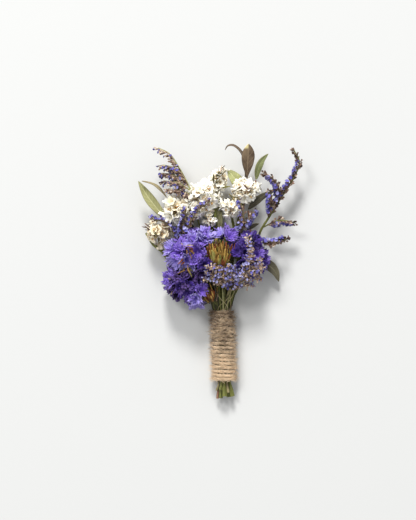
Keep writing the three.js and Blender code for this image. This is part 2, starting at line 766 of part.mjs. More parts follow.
// A point of the fan: s along it, at an angle round it, out times its own width and grow wider.
function onFan({ foot, along, length, width, depth }, s, angle, out, grow = 0) {
  const axis = vec(...along).normalize();
  const { side, up } = crossways(axis, zAxis);
  const belly = 0.22 + 0.88 * Math.sin(Math.PI * Math.min(1, 0.12 + 0.62 * s));
  return vec(...foot)
    .addScaledVector(axis, length * s)
    .addScaledVector(side, Math.cos(angle) * (width * belly * out + grow))
    .addScaledVector(up, Math.sin(angle) * (depth * belly * out + grow));
}

// A closed body round the fan's axis from one s to another.
function fanBody(fan, { from, to, bands, sides, out, grow = 0 }) {
  const rings = [];
  for (let i = 0; i <= bands; i++) {
    const ring = [];
    for (let j = 0; j < sides; j++) {
      ring.push(onFan(fan, from + ((to - from) * i) / bands, (2 * Math.PI * j) / sides, out, grow));
    }
    rings.push(ring);
  }
  return loft(rings);
}

function bractFan(fan) {
  const axis = vec(...fan.along).normalize();
  const { side, up } = crossways(axis, zAxis);
  const parts = [fanBody(fan, { from: 0.02, to: 0.76, bands: 2, sides: 6, out: 0.9 })];
  for (let k = 0; k < fan.count; k++) {
    const angle = (2 * Math.PI * k) / fan.count;
    const start = k % 2 ? 0.3 : 0.06;
    const reach = k % 2 ? 0.66 : 0.56;
    const path = [0, 0.5, 1].map((s) => onFan(fan, start + reach * s, angle, 0.93 + 0.12 * s));
    const out = side.clone().multiplyScalar(Math.cos(angle)).addScaledVector(up, Math.sin(angle));
    const shape = { width: fan.width * 0.74, fold: -0.3, steps: 2, thickness: 0.8, hint: out };
    parts.push(blade(path.map((p) => [p.x, p.y, p.z]), shape));
  }
  return fuse(parts);
}

// Where each floret of a spray sits on its branch, and which way it points.
function floretPlaces(points, { from = 0.18, to = 1, count, side }, random) {
  const curve = new THREE.CatmullRomCurve3(points.map(([x, y, z]) => vec(x, y, z)), false, "centripetal");
  const places = [];
  for (let k = 0; k < count; k++) {
    const t = from + ((to - from) * (k + 0.5)) / count;
    const tangent = curve.getTangentAt(t);
    const { side: across, up } = crossways(tangent, zAxis);
    const lean = 0.75 + 0.25 * random();
    const rise = (k % 2 ? 0.75 : -0.25) + 0.3 * random();
    const direction = tangent
      .clone()
      .multiplyScalar(0.75)
      .addScaledVector(across, -side * lean)
      .addScaledVector(up, rise)
      .normalize();
    places.push({ root: curve.getPointAt(t), direction, size: 1.1 - 0.3 * (k / count) });
  }
  return places;
}

// Every finished solid is kept here, so that the next ones can stay clear of it.
const placed = [];

function boxesMeet(a, b) {
  const p = a.boundingBox();
  const q = b.boundingBox();
  return [0, 1, 2].every((i) => p.min[i] < q.max[i] && q.min[i] < p.max[i]);
}

function touchesPlaced(solid) {
  return placed.some((other) => boxesMeet(solid, other) && !solid.intersect(other).isEmpty());
}

const boutonniere = new THREE.Group();

function place(name, rough, colour, roughness = 0.85) {
  const solid = mainBody(rough.asOriginal().simplify(shortestEdge));
  placed.push(solid);
  const mesh = solid.getMesh();
  const geometry = new THREE.BufferGeometry();
  const positions = new Float32Array(mesh.numVert * 3);
  for (let i = 0; i < mesh.numVert; i++) {
    positions.set(mesh.vertProperties.subarray(i * mesh.numProp, i * mesh.numProp + 3), i * 3);
  }
  geometry.setAttribute("position", new THREE.BufferAttribute(positions, 3));
  geometry.setIndex(new THREE.BufferAttribute(mesh.triVerts, 1));
  geometry.computeVertexNormals();
  const material = new THREE.MeshStandardMaterial({ color: colours[colour], roughness, metalness: 0 });
  const piece = new THREE.Mesh(geometry, material);
  piece.name = name;
  boutonniere.add(piece);
}

// The stems of a stalk or spray as one solid.
function stalkSolid(plan) {
  const winged = Boolean(plan.wings);
  const wings = plan.wings ?? 1;
  const parts = [stem(stalkPoints(plan.lane, plan.way), { sides: winged ? 6 : 5, wings, straight: 5 })];
  for (const branch of plan.branches) {
    parts.push(stem(wayTo(branch.points ?? branch), { sides: winged ? 6 : 3, wings }));
  }
  return fuse(parts);
}

// The room that other pieces leave round those stems: plain tubes a clearance wider.
function stalkRoom(plan) {
  const grow = clearance * 1.6;
  const parts = [stem(stalkPoints(plan.lane, plan.way), { grow, straight: 5 })];
  for (const branch of plan.branches) {
    parts.push(stem(wayTo(branch.points ?? branch), { grow }));
  }
  return fuse(parts);
}

place("twine_wrap", twineWrap(), "jute", 0.95);

const rooms = [];
for (const plan of Object.values({ ...stalks, ...sprays })) {
  rooms.push(stalkRoom(plan));
}
for (const [name, plan] of Object.entries(stalks)) {
  place(name, stalkSolid(plan), plan.colour);
}

// Cuts a solid back from what passes through it and from the surface that it lies on.
function cutBack(solid, keepOut) {
  let left = solid;
  for (const other of keepOut) {
    if (boxesMeet(left, other)) left = left.subtract(other);
  }
  return mainBody(left.subtract(tabletop));
}

for (const [name, plan] of Object.entries(bractFans)) {
  place(name, cutBack(bractFan(plan), rooms), "bract", 0.8);
  rooms.push(fanBody(plan, { from: -0.04, to: 1.02, bands: 3, sides: 8, out: 1.08, grow: 3 * clearance }));
}
for (const [name, { points, colour, ...shape }] of Object.entries(leaves)) {
  place(name, blade(points, shape), colour, 0.7);
  const roomy = { ...shape, width: shape.width + 3 * clearance, thickness: leafThickness + 3 * clearance };
  rooms.push(blade(points, roomy));
}

// Neighbouring heads press flat against each other: each is cut at the plane halfway between them.
const heads = Object.values({ ...violetBlooms, ...whiteHeads });
function pressedBy(own) {
  const middle = (head) => vec(...head.core).addScaledVector(vec(...head.axis).normalize(), 4);
  const cuts = [];
  for (const head of heads) {
    const away = middle(head).sub(middle(own));
    if (head === own || away.length() > 26) continue;
    const size = own.scale + own.coreRadius / 3;
    const share = size / (size + head.scale + head.coreRadius / 3);
    const edge = middle(own)
      .addScaledVector(away, share)
      .addScaledVector(away.clone().normalize(), -clearance / 2);
    cuts.push(spaceBeyond(edge, away));
  }
  return cuts;
}

for (const [name, head] of Object.entries(violetBlooms)) {
  place(name, cutBack(flowerHead(head, violetCalyx), [...rooms, ...pressedBy(head)]), head.colour, 0.75);
}
for (const [name, head] of Object.entries(whiteHeads)) {
  place(name, cutBack(flowerHead(head, whiteCup), [...rooms, ...pressedBy(head)]), "white", 0.8);
}

// A spray keeps the florets that stand clear of everything placed before it.
function spray(plan, random) {
  const stems = stalkSolid(plan);
  const onStem = floretPlaces(stalkPoints(plan.lane, plan.way), plan.flowers, random);
  const onBranches = plan.branches.flatMap((branch) => floretPlaces(branch.points, branch, random));
  const kept = [...onStem, ...onBranches].filter(
    ({ root, direction, size }) => !touchesPlaced(floret(root, direction, size, clearance)),
  );
  return mainBody(fuse([stems, ...kept.map(({ root, direction, size }) => floret(root, direction, size))]));
}

let sprayNumber = 0;
for (const [name, plan] of Object.entries(sprays)) {
  sprayNumber += 1;
  place(name, spray(plan, seeded(100 + sprayNumber)), "lavenderStem", 0.85);
}

export default boutonniere;
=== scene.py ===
import bpy
import math
import random
from mathutils import Matrix, Vector, noise


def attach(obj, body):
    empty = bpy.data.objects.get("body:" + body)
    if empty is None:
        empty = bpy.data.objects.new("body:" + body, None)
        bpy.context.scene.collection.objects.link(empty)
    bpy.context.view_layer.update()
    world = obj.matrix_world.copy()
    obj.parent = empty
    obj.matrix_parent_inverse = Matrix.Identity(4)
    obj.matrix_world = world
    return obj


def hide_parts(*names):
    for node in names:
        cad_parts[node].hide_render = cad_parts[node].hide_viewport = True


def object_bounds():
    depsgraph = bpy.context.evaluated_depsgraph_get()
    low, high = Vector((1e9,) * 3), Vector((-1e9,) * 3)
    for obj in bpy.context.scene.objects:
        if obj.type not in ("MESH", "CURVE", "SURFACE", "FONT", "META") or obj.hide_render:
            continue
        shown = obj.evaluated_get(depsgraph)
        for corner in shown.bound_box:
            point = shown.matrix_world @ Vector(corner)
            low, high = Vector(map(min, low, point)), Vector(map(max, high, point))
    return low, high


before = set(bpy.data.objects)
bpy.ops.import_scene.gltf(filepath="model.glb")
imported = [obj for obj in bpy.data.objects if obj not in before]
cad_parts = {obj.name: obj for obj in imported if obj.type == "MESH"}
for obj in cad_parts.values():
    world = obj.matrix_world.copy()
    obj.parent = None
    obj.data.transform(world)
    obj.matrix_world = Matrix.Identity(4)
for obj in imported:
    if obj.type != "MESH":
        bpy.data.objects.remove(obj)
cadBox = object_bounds()

# Everything is modelled in millimetres and made metres as each piece is finished.
mm = 0.001
zAxis = Vector((0, 0, 1))
resting = {"floorGap": 0.02, "headroom": 0.5}


# A colour as it is seen, in steps of 255, turned into linear light.
def linear(red, green, blue):
    def channel(value):
        value /= 255
        return value / 12.92 if value <= 0.04045 else ((value + 0.055) / 1.055) ** 2.4
    return (channel(red), channel(green), channel(blue), 1.0)


# The camera, the floor and the light.
camera = {"lens": 100.0, "sensor": 36.0, "millimetresPerPixel": 0.485, "imageHeight": 520,
          "middleX": -7.4, "middleY": 41.7, "sharpHeight": 10.0}
studio = {"floorSize": 3.0, "floorColour": (206, 206, 204), "floorRoughness": 0.9, "floorShine": 0.1,
          "keyPower": 168.0, "keySize": 0.9, "keyPlace": (-0.3, 3.25, 2.4),
          "sidePower": 17.0, "sideSize": 0.5, "sidePlace": (-0.9, 1.0, 1.6),
          "skyStrength": 0.6, "skyColour": (0.97, 0.985, 1.0, 1.0)}


def makeStudio():
    view = bpy.data.cameras.new("overhead_camera")
    view.lens = camera["lens"]
    view.sensor_fit = "VERTICAL"
    view.sensor_height = camera["sensor"]
    shown = camera["millimetresPerPixel"] * camera["imageHeight"]
    distance = shown / camera["sensor"] * camera["lens"]
    height = camera["sharpHeight"] + distance
    holder = bpy.data.objects.new("overhead_camera", view)
    holder.location = (camera["middleX"] * mm, camera["middleY"] * mm, height * mm)
    bpy.context.collection.objects.link(holder)
    bpy.context.scene.camera = holder
    bpy.context.scene.view_settings.view_transform = "Standard"

    bpy.ops.mesh.primitive_plane_add(size=studio["floorSize"], location=(0, 0, 0))
    floor = bpy.context.object
    floor.name = "pale_floor"
    paint = bpy.data.materials.new("floor_paint")
    paint.use_nodes = True
    shader = paint.node_tree.nodes["Principled BSDF"]
    shader.inputs["Base Color"].default_value = linear(*studio["floorColour"])
    shader.inputs["Roughness"].default_value = studio["floorRoughness"]
    shader.inputs["Specular IOR Level"].default_value = studio["floorShine"]
    floor.data.materials.append(paint)

    middle = Vector((camera["middleX"] * mm, camera["middleY"] * mm, 0))
    for name in ("key", "side"):
        bpy.ops.object.light_add(type="AREA", location=middle + Vector(studio[name + "Place"]))
        lamp = bpy.context.object
        lamp.name = name + "_light"
        lamp.data.energy = studio[name + "Power"]
        lamp.data.size = studio[name + "Size"]
        lamp.rotation_euler = (middle - lamp.location).to_track_quat("-Z", "Y").to_euler()
    world = bpy.data.worlds.new("soft_daylight")
    world.use_nodes = True
    world.node_tree.nodes["Background"].inputs["Color"].default_value = studio["skyColour"]
    world.node_tree.nodes["Background"].inputs["Strength"].default_value = studio["skyStrength"]
    bpy.context.scene.world = world
    print("studio ready")


# Shared surface effects and materials. A group is used with all its inputs given.
def nodeGroup(name, inputs, outputs):
    group = bpy.data.node_groups.new(name, "ShaderNodeTree")
    for label, kind in inputs:
        group.interface.new_socket(label, in_out="INPUT", socket_type=kind)
    for label, kind in outputs:
        group.interface.new_socket(label, in_out="OUTPUT", socket_type=kind)
    return group, group.nodes.new("NodeGroupInput"), group.nodes.new("NodeGroupOutput")


def setInputs(tree, node, sources):
    for key, source in sources.items():
        if isinstance(source, bpy.types.NodeSocket):
            tree.links.new(source, node.inputs[key])
        else:
            node.inputs[key].default_value = source


def addNode(tree, kind, sources=None, **values):
    node = tree.nodes.new(kind)
    for key, value in values.items():
        setattr(node, key, value)
    setInputs(tree, node, sources or {})
    return node


# The colour sockets of a mix node are told apart by their number.
def mixColours(tree, factor, first, second):
    return addNode(tree, "ShaderNodeMix", {0: factor, 6: first, 7: second}, data_type="RGBA").outputs[2]


def mathNode(tree, operation, first, second=0.0, third=0.0):
    sources = {0: first, 1: second, 2: third}
    return addNode(tree, "ShaderNodeMath", sources, operation=operation).outputs[0]


def rangeNode(tree, value, start, end, low=0.0, high=1.0):
    return addNode(tree, "ShaderNodeMapRange", {0: value, 1: start, 2: end, 3: low, 4: high}).outputs[0]


driedTone = {"blotchDetail": 3.0, "speckDetail": 2.0, "darkest": 0.3, "lightest": 0.7, "specks": 0.6}


# Uneven drying: broad blotches and fine specks between two colours.
def makeDriedTone():
    group, given, result = nodeGroup(
        "dried_tone",
        [("Dark", "NodeSocketColor"), ("Light", "NodeSocketColor"), ("Blotches", "NodeSocketFloat"),
         ("Specks", "NodeSocketFloat"), ("Shift", "NodeSocketFloat")],
        [("Color", "NodeSocketColor"), ("Height", "NodeSocketFloat")])
    place = addNode(group, "ShaderNodeTexCoord").outputs["Object"]
    broad = addNode(group, "ShaderNodeTexNoise", {
        "Vector": place, "Scale": given.outputs["Blotches"], "Detail": driedTone["blotchDetail"]})
    fine = addNode(group, "ShaderNodeTexNoise", {
        "Vector": place, "Scale": given.outputs["Specks"], "Detail": driedTone["speckDetail"]})
    spread = rangeNode(group, broad.outputs["Fac"], driedTone["darkest"], driedTone["lightest"])
    specks = driedTone["specks"]
    grain = mathNode(group, "MULTIPLY_ADD", fine.outputs["Fac"], specks, -specks / 2)
    total = mathNode(group, "ADD", mathNode(group, "ADD", spread, grain), given.outputs["Shift"])
    total.node.use_clamp = True
    tinted = mixColours(group, total, given.outputs["Dark"], given.outputs["Light"])
    setInputs(group, result, {"Color": tinted, "Height": fine.outputs["Fac"]})
    return group


fibreLines = {"detail": 3.0, "thinnest": 0.35, "thickest": 0.65}


# Fine lines along a fibre or stem: noise squeezed across and drawn out along a direction.
def makeFibreLines():
    group, given, result = nodeGroup(
        "fibre_lines",
        [("Vector", "NodeSocketVector"), ("Across", "NodeSocketFloat"), ("Along", "NodeSocketFloat")],
        [("Mask", "NodeSocketFloat"), ("Height", "NodeSocketFloat")])
    scale = addNode(group, "ShaderNodeCombineXYZ", {
        "X": given.outputs["Across"], "Y": given.outputs["Along"], "Z": given.outputs["Across"]})
    drawn = addNode(group, "ShaderNodeVectorMath", {0: given.outputs["Vector"], 1: scale.outputs[0]},
                    operation="MULTIPLY")
    lines = addNode(group, "ShaderNodeTexNoise", {
        "Vector": drawn.outputs[0], "Scale": 1.0, "Detail": fibreLines["detail"]})
    mask = rangeNode(group, lines.outputs["Fac"], fibreLines["thinnest"], fibreLines["thickest"])
    setInputs(group, result, {"Mask": mask, "Height": lines.outputs["Fac"]})
    return group


effects = {}


def groupNode(tree, effect, sources):
    return addNode(tree, "ShaderNodeGroup", sources, node_tree=effects[effect])


def attribute(tree, name, output="Fac"):
    return addNode(tree, "ShaderNodeAttribute", attribute_name=name).outputs[output]


def startMaterial(name, look):
    material = bpy.data.materials.new(name)
    material.use_nodes = True
    tree = material.node_tree
    shader = tree.nodes["Principled BSDF"]
    setInputs(tree, shader, {"Roughness": look["roughness"], "Sheen Weight": look["sheen"],
                             "Specular IOR Level": look["specular"]})
    return material, tree, shader


def toneNode(tree, look, shift):
    return groupNode(tree, "dried_tone", {
        "Dark": linear(*look["dark"]), "Light": linear(*look["light"]), "Blotches": look["blotches"],
        "Specks": look["specks"], "Shift": shift})


# How much lighter or darker a single flower, stem or fibre is than the rest of its kind.
def ownTone(tree, look):
    return mathNode(tree, "MULTIPLY", attribute(tree, "tone"), look["toneSpan"])


def finishMaterial(tree, shader, look, colour, height):
    bump = addNode(tree, "ShaderNodeBump", {
        "Height": height, "Strength": look["bump"], "Distance": look["bumpDepth"]})
    setInputs(tree, shader, {"Base Color": colour, "Normal": bump.outputs["Normal"]})


# A papery petal: darker in its throat with painted shade, paler to its rim, with pleats that get painted
# shade in their folds and a paler tone on their ridges, and with a tone of its own.
def petalMaterial(name, look):
    material, tree, shader = startMaterial(name, look)
    setInputs(tree, shader, {"Subsurface Weight": look["through"], "Subsurface Scale": look["throughDepth"],
                             "Subsurface Radius": look["throughColours"]})
    share = attribute(tree, "along")
    crease = attribute(tree, "crease")
    # Painted shade and highlight in the pleats: the crease value darkens the tone in the folds and lightens
    # it on the ridges, and adds a random streak along each column.
    foldShadeAndStreaks = mathNode(tree, "MULTIPLY", crease, look["foldShadeAndStreaks"])
    tone = toneNode(tree, look, mathNode(tree, "ADD", ownTone(tree, look), foldShadeAndStreaks))
    # Painted shade: towards the foot of the funnel, where shade falls, the colour turns to the dark throat
    # colour.
    throat = rangeNode(tree, share, look["throatShadeFrom"], look["throatShadeTo"])
    afterThroatShade = mixColours(tree, throat, linear(*look["throat"]), tone.outputs["Color"])
    rim = rangeNode(tree, share, look["rimFrom"], 1.0, 0.0, look["rimShare"])
    # Painted shade: the pale rim keeps only foldShare of its colour in the folds, and all of it on the
    # ridges.
    ridge = rangeNode(tree, crease, -1.0, 1.0, look["foldShare"], 1.0)
    edged = mixColours(tree, mathNode(tree, "MULTIPLY", rim, ridge), afterThroatShade, linear(*look["edge"]))
    pleats = mathNode(tree, "MULTIPLY", crease, look["pleats"])
    finishMaterial(tree, shader, look, edged, mathNode(tree, "ADD", tone.outputs["Height"], pleats))
    return material


def plainDriedMaterial(name, look):
    material, tree, shader = startMaterial(name, look)
    tone = toneNode(tree, look, ownTone(tree, look))
    finishMaterial(tree, shader, look, tone.outputs["Color"], tone.outputs["Height"])
    return material


# A stem has fine ribs along the bundle's length, and jute has fibres along each ply.
def fibrousMaterial(name, look):
    material, tree, shader = startMaterial(name, look)
    tone = toneNode(tree, look, ownTone(tree, look))
    place = addNode(tree, "ShaderNodeTexCoord").outputs["Object"]
    if look["alongPly"]:
        place = attribute(tree, "run", "Vector")
    lines = groupNode(tree, "fibre_lines", {
        "Vector": place, "Across": look["linesAcross"], "Along": look["linesAlong"]})
    ribs = mathNode(tree, "MULTIPLY", lines.outputs["Mask"], look["ribs"])
    colour = mixColours(tree, ribs, tone.outputs["Color"], linear(*look["rib"]))
    finishMaterial(tree, shader, look, colour, lines.outputs["Height"])
    return material


# A leaf: one half darker with painted shade, faint side veins, a pale midrib, a darker edge, and a dry tip on
# some.
def leafMaterial(name, look):
    material, tree, shader = startMaterial(name, look)
    tone = toneNode(tree, look, 0.0)
    share = attribute(tree, "along")
    across = attribute(tree, "across")
    away = mathNode(tree, "ABSOLUTE", across)
    # Painted shade: the half of the blade on the +across side is darkened towards the half colour, as if
    # turned away from the light.
    half = rangeNode(tree, across, -look["shadedHalfBlend"], look["shadedHalfBlend"], 0.0, look["shadedHalfShare"])
    slant = mathNode(tree, "MULTIPLY", away, -look["veinSlant"])
    waves = mathNode(tree, "SINE", mathNode(tree, "MULTIPLY_ADD", share, look["veins"], slant))
    veins = rangeNode(tree, waves, look["veinFrom"], 1.0, 0.0, look["veinShare"])
    rib = rangeNode(tree, away, 0.0, look["ribWidth"], look["ribShare"], 0.0)
    edge = rangeNode(tree, away, look["edgeFrom"], 1.0, 0.0, look["edgeShare"])
    tipEnd = rangeNode(tree, share, *look["tipLength"], 0.0, look["tipShare"])
    tipSide = rangeNode(tree, across, *look["tipSide"], 1.0, 0.0)
    tip = mathNode(tree, "MULTIPLY", tipEnd, tipSide)
    colour = tone.outputs["Color"]
    for mask, layer in ((half, "half"), (veins, "vein"), (rib, "vein"), (edge, "edge"), (tip, "tip")):
        colour = mixColours(tree, mask, colour, linear(*look[layer]))
    finishMaterial(tree, shader, look, colour, mathNode(tree, "ADD", veins, tone.outputs["Height"]))
    return material


# What the finishes of a kind have in common. A finish may give its own value instead.
# In a petal look, the streak amount also paints shade into the folds of the pleats and a paler tone onto
# their ridges, and foldShare is how much of the pale rim stays in the painted fold shade.
petalLook = {"roughness": 0.75, "sheen": 0.1, "specular": 0.15, "blotches": 260.0, "specks": 1800.0,
             "toneSpan": 1.0, "foldShadeAndStreaks": 0.6, "foldShare": 0.4, "pleats": 0.5, "throughDepth": 0.0012,
             "throughColours": (1.0, 0.9, 0.8), "bump": 0.5, "bumpDepth": 0.0002}
dryLook = {"sheen": 0.0, "specular": 0.3, "blotches": 260.0, "specks": 2000.0, "toneSpan": 0.8,
           "bump": 0.5, "bumpDepth": 0.0002}
stemLook = {"sheen": 0.0, "specular": 0.35, "blotches": 220.0, "specks": 1600.0, "toneSpan": 0.8,
            "alongPly": False, "linesAcross": 2600.0, "linesAlong": 140.0, "bump": 0.6, "bumpDepth": 0.0002}
juteLook = {"sheen": 0.35, "specular": 0.15, "blotches": 180.0, "specks": 1200.0, "toneSpan": 0.7,
            "alongPly": True, "linesAcross": 5.0, "linesAlong": 0.35, "bump": 0.9, "bumpDepth": 0.0003}
leafLook = {"roughness": 0.62, "sheen": 0.1, "specular": 0.3, "blotches": 160.0, "specks": 1400.0,
            "shadedHalfBlend": 0.15, "shadedHalfShare": 0.35, "veins": 60.0, "veinSlant": 9.0, "veinFrom": 0.75,
            "veinShare": 0.35, "ribWidth": 0.12, "ribShare": 0.85, "edgeFrom": 0.86, "edgeShare": 0.6,
            "tip": (206, 180, 96), "tipShare": 0.0, "tipLength": (0.84, 0.9), "tipSide": (-0.2, 0.1),
            "bump": 0.4, "bumpDepth": 0.0002}

# The throat colour of each petal finish is painted shade deep in the funnel.
petals = {
    "violet_petal": {"light": (108, 77, 179), "dark": (70, 45, 140), "throat": (54, 34, 112),
                     "edge": (146, 122, 208), "throatShadeFrom": 0.42, "throatShadeTo": 0.84, "rimFrom": 0.78,
                     "rimShare": 0.6, "through": 0.2},
    "deep_violet_petal": {"light": (62, 38, 128), "dark": (32, 17, 74), "throat": (18, 9, 42),
                          "edge": (94, 72, 160), "throatShadeFrom": 0.45, "throatShadeTo": 0.9, "rimFrom": 0.82,
                          "rimShare": 0.5, "through": 0.1},
    "dusk_petal": {"light": (50, 29, 82), "dark": (22, 10, 40), "throat": (16, 8, 30),
                   "edge": (116, 92, 162), "throatShadeFrom": 0.45, "throatShadeTo": 0.9, "rimFrom": 0.86,
                   "rimShare": 0.6, "through": 0.1, "roughness": 0.78, "specular": 0.12, "foldShadeAndStreaks": 0.7},
    "lavender_petal": {"light": (140, 122, 208), "dark": (98, 79, 178), "throat": (58, 40, 120),
                       "edge": (178, 168, 226), "throatShadeFrom": 0.35, "throatShadeTo": 0.78, "rimFrom": 0.7,
                       "rimShare": 0.7, "through": 0.25, "toneSpan": 0.9},
    "lilac_petal": {"light": (168, 160, 222), "dark": (128, 116, 200), "throat": (76, 58, 146),
                    "edge": (208, 206, 238), "throatShadeFrom": 0.3, "throatShadeTo": 0.75, "rimFrom": 0.7,
                    "rimShare": 0.7, "through": 0.25, "toneSpan": 0.8},
    "white_petal": {"light": (255, 251, 236), "dark": (252, 243, 218), "throat": (236, 214, 162),
                    "edge": (255, 253, 244), "throatShadeFrom": 0.2, "throatShadeTo": 0.66, "rimFrom": 0.75,
                    "rimShare": 0.8, "through": 0.2, "toneSpan": 0.6, "specular": 0.2, "foldShadeAndStreaks": 0.35},
    "cream_petal": {"light": (240, 228, 198), "dark": (212, 190, 148), "throat": (176, 144, 94),
                    "edge": (250, 244, 226), "throatShadeFrom": 0.2, "throatShadeTo": 0.7, "rimFrom": 0.75,
                    "rimShare": 0.7, "through": 0.0, "toneSpan": 0.6, "roughness": 0.8, "foldShadeAndStreaks": 0.4},
}
dryParts = {
    "orange_heart": {"dark": (184, 138, 84), "light": (240, 206, 146), "roughness": 0.8},
    "brown_calyx": {"dark": (70, 52, 45), "light": (152, 122, 104), "roughness": 0.85, "sheen": 0.1},
    "beige_calyx": {"dark": (148, 118, 98), "light": (222, 200, 176), "roughness": 0.85, "sheen": 0.1},
    "blue_corolla": {"dark": (66, 60, 132), "light": (112, 106, 184), "roughness": 0.7, "sheen": 0.2},
    "pale_corolla": {"dark": (116, 112, 176), "light": (178, 176, 218), "roughness": 0.7, "sheen": 0.2},
    "ochre_bract": {"dark": (118, 84, 38), "light": (212, 172, 88), "roughness": 0.7, "blotches": 420.0},
    "rust_bract": {"dark": (92, 46, 30), "light": (168, 96, 54), "roughness": 0.7, "blotches": 420.0},
    "green_bract": {"dark": (98, 98, 44), "light": (178, 168, 92), "roughness": 0.7, "blotches": 420.0},
    "olive_bract": {"dark": (40, 40, 22), "light": (112, 104, 60), "roughness": 0.75, "blotches": 420.0},
    "cut_end": {"dark": (150, 140, 96), "light": (206, 196, 150), "roughness": 0.85},
    "straw": {"dark": (150, 136, 96), "light": (214, 202, 160), "roughness": 0.8},
}
stems = {
    "green_stem": {"dark": (22, 26, 10), "light": (94, 100, 44), "rib": (162, 160, 86), "ribs": 0.45,
                   "roughness": 0.6, "blotches": 150.0},
    "brown_twig": {"dark": (92, 58, 42), "light": (166, 118, 92), "rib": (188, 146, 118), "ribs": 0.35,
                   "roughness": 0.75},
    "lavender_stem": {"dark": (74, 66, 42), "light": (150, 138, 96), "rib": (176, 164, 124), "ribs": 0.3,
                      "roughness": 0.75},
    "dark_stem": {"dark": (16, 18, 8), "light": (58, 60, 28), "rib": (104, 100, 56), "ribs": 0.3,
                  "roughness": 0.6, "blotches": 180.0},
    "pale_stem": {"dark": (98, 100, 56), "light": (166, 164, 110), "rib": (190, 186, 136), "ribs": 0.3,
                  "roughness": 0.7},
}
jute = {
    "jute": {"dark": (112, 90, 66), "light": (250, 222, 184), "rib": (104, 78, 52), "ribs": 0.55,
             "roughness": 0.9},
}
# In each leaf finish, the half colour is painted shade for one half of the blade.
leafBlades = {
    "olive_leaf": {"dark": (128, 126, 80), "light": (172, 170, 120), "half": (100, 100, 60),
                   "vein": (196, 194, 150), "edge": (104, 94, 58)},
    "tan_leaf": {"dark": (136, 122, 86), "light": (176, 162, 122), "half": (118, 106, 70),
                 "vein": (190, 178, 138), "edge": (98, 82, 56)},
    "pale_leaf": {"dark": (146, 150, 96), "light": (186, 188, 132), "half": (126, 128, 76),
                  "vein": (208, 208, 160), "edge": (126, 116, 72)},
    "green_leaf": {"dark": (104, 110, 66), "light": (150, 156, 104), "half": (92, 98, 58),
                   "vein": (170, 174, 124), "edge": (108, 94, 60)},
    "shaded_leaf": {"dark": (82, 80, 52), "light": (142, 138, 98), "half": (66, 62, 38),
                    "vein": (150, 146, 106), "edge": (74, 64, 42)},
    "brown_leaf": {"dark": (76, 60, 44), "light": (118, 99, 77), "half": (64, 49, 35), "veins": 34.0,
                   "vein": (134, 115, 90), "edge": (62, 49, 35)},
    "folded_leaf": {"dark": (72, 56, 41), "light": (122, 103, 80), "half": (60, 45, 32), "veins": 34.0,
                    "vein": (134, 115, 90), "edge": (62, 49, 35), "tip": (222, 208, 150),
                    "tipShare": 0.95},
    # Painted shade and highlight: this finish is a dark olive leaf made darker still as a shadowed underside,
    # and its paler edge stands for a lit rim.
    "dark_leaf": {"dark": (58, 55, 42), "light": (100, 95, 74), "half": (50, 46, 35),
                  "vein": (116, 110, 86), "edge": (108, 100, 76)},
}


def makeMaterials():
    effects["dried_tone"] = makeDriedTone()
    effects["fibre_lines"] = makeFibreLines()
    made = {}
    for make, common, finishes in (
            (petalMaterial, petalLook, petals), (plainDriedMaterial, dryLook, dryParts),
            (fibrousMaterial, stemLook, stems), (fibrousMaterial, juteLook, jute),
            (leafMaterial, leafLook, leafBlades)):
        for name, look in finishes.items():
            made[name] = make(name, {**common, **look})
    print("materials ready")
    return made


# Helpers for modelling. Whoever calls them gives millimetres.
def deselectAll():
    bpy.ops.object.select_all(action="DESELECT")


def activate(piece):
    deselectAll()
    piece.select_set(True)
    bpy.context.view_layer.objects.active = piece


def store(mesh, name, values, kind="FLOAT"):
    layer = mesh.attributes.get(name) or mesh.attributes.new(name, kind, "POINT")
    field = "vector" if kind == "FLOAT_VECTOR" else "value"
    layer.data.foreach_set(field, values)


def strayVector(draw, most):
    return Vector([draw.uniform(-most, most) for _ in range(3)])


# A copy of a finished model with its own mesh, put where it grows.
def grow(model, matrix, tone):
    copied = bpy.data.objects.new(model.name, model.data.copy())
    copied.data.transform(matrix)
    store(copied.data, "tone", [tone] * len(copied.data.vertices))
    bpy.context.collection.objects.link(copied)
    return copied


# Puts a shape at a point with its +Z along a direction.
def facing(point, direction, spin, size, length=1.0):
    turn = zAxis.rotation_difference(direction.normalized()).to_matrix().to_4x4()
    sizes = Matrix.Diagonal((size, size, size * length, 1.0))
    return Matrix.Translation(point) @ turn @ Matrix.Rotation(spin, 4, "Z") @ sizes


def crossways(tangent):
    side = tangent.cross(zAxis).normalized()
    return side, side.cross(tangent).normalized()


routing = {"steps": 6, "leastGap": 1e-4}


# A smooth route through points given as (x, y, z, radius), as points with their radius.
def smoothRoute(points, steps=routing["steps"]):
    knots = [Vector(p[:3]) for p in points]
    knots = [knots[0] * 2 - knots[1]] + knots + [knots[-1] * 2 - knots[-2]]
    smooth = []
    for i in range(1, len(knots) - 2):
        before, start, end, after = knots[i - 1:i + 3]
        first, middle, last = [max(routing["leastGap"], (b - a).length ** 0.5)
                               for a, b in ((before, start), (start, end), (end, after))]
        leave = ((start - before) / first - (end - before) / (first + middle)
                 + (end - start) / middle) * middle
        arrive = ((end - start) / middle - (after - start) / (middle + last)
                  + (after - end) / last) * middle
        r0, r1 = points[i - 1][3], points[i][3]
        for k in range(steps):
            t = k / steps
            point = (start * (2 * t**3 - 3 * t**2 + 1) + leave * (t**3 - 2 * t**2 + t)
                     + end * (3 * t**2 - 2 * t**3) + arrive * (t**3 - t**2))
            smooth.append((point, r0 + (r1 - r0) * t))
    smooth.append((knots[-2].copy(), points[-1][3]))
    return smooth


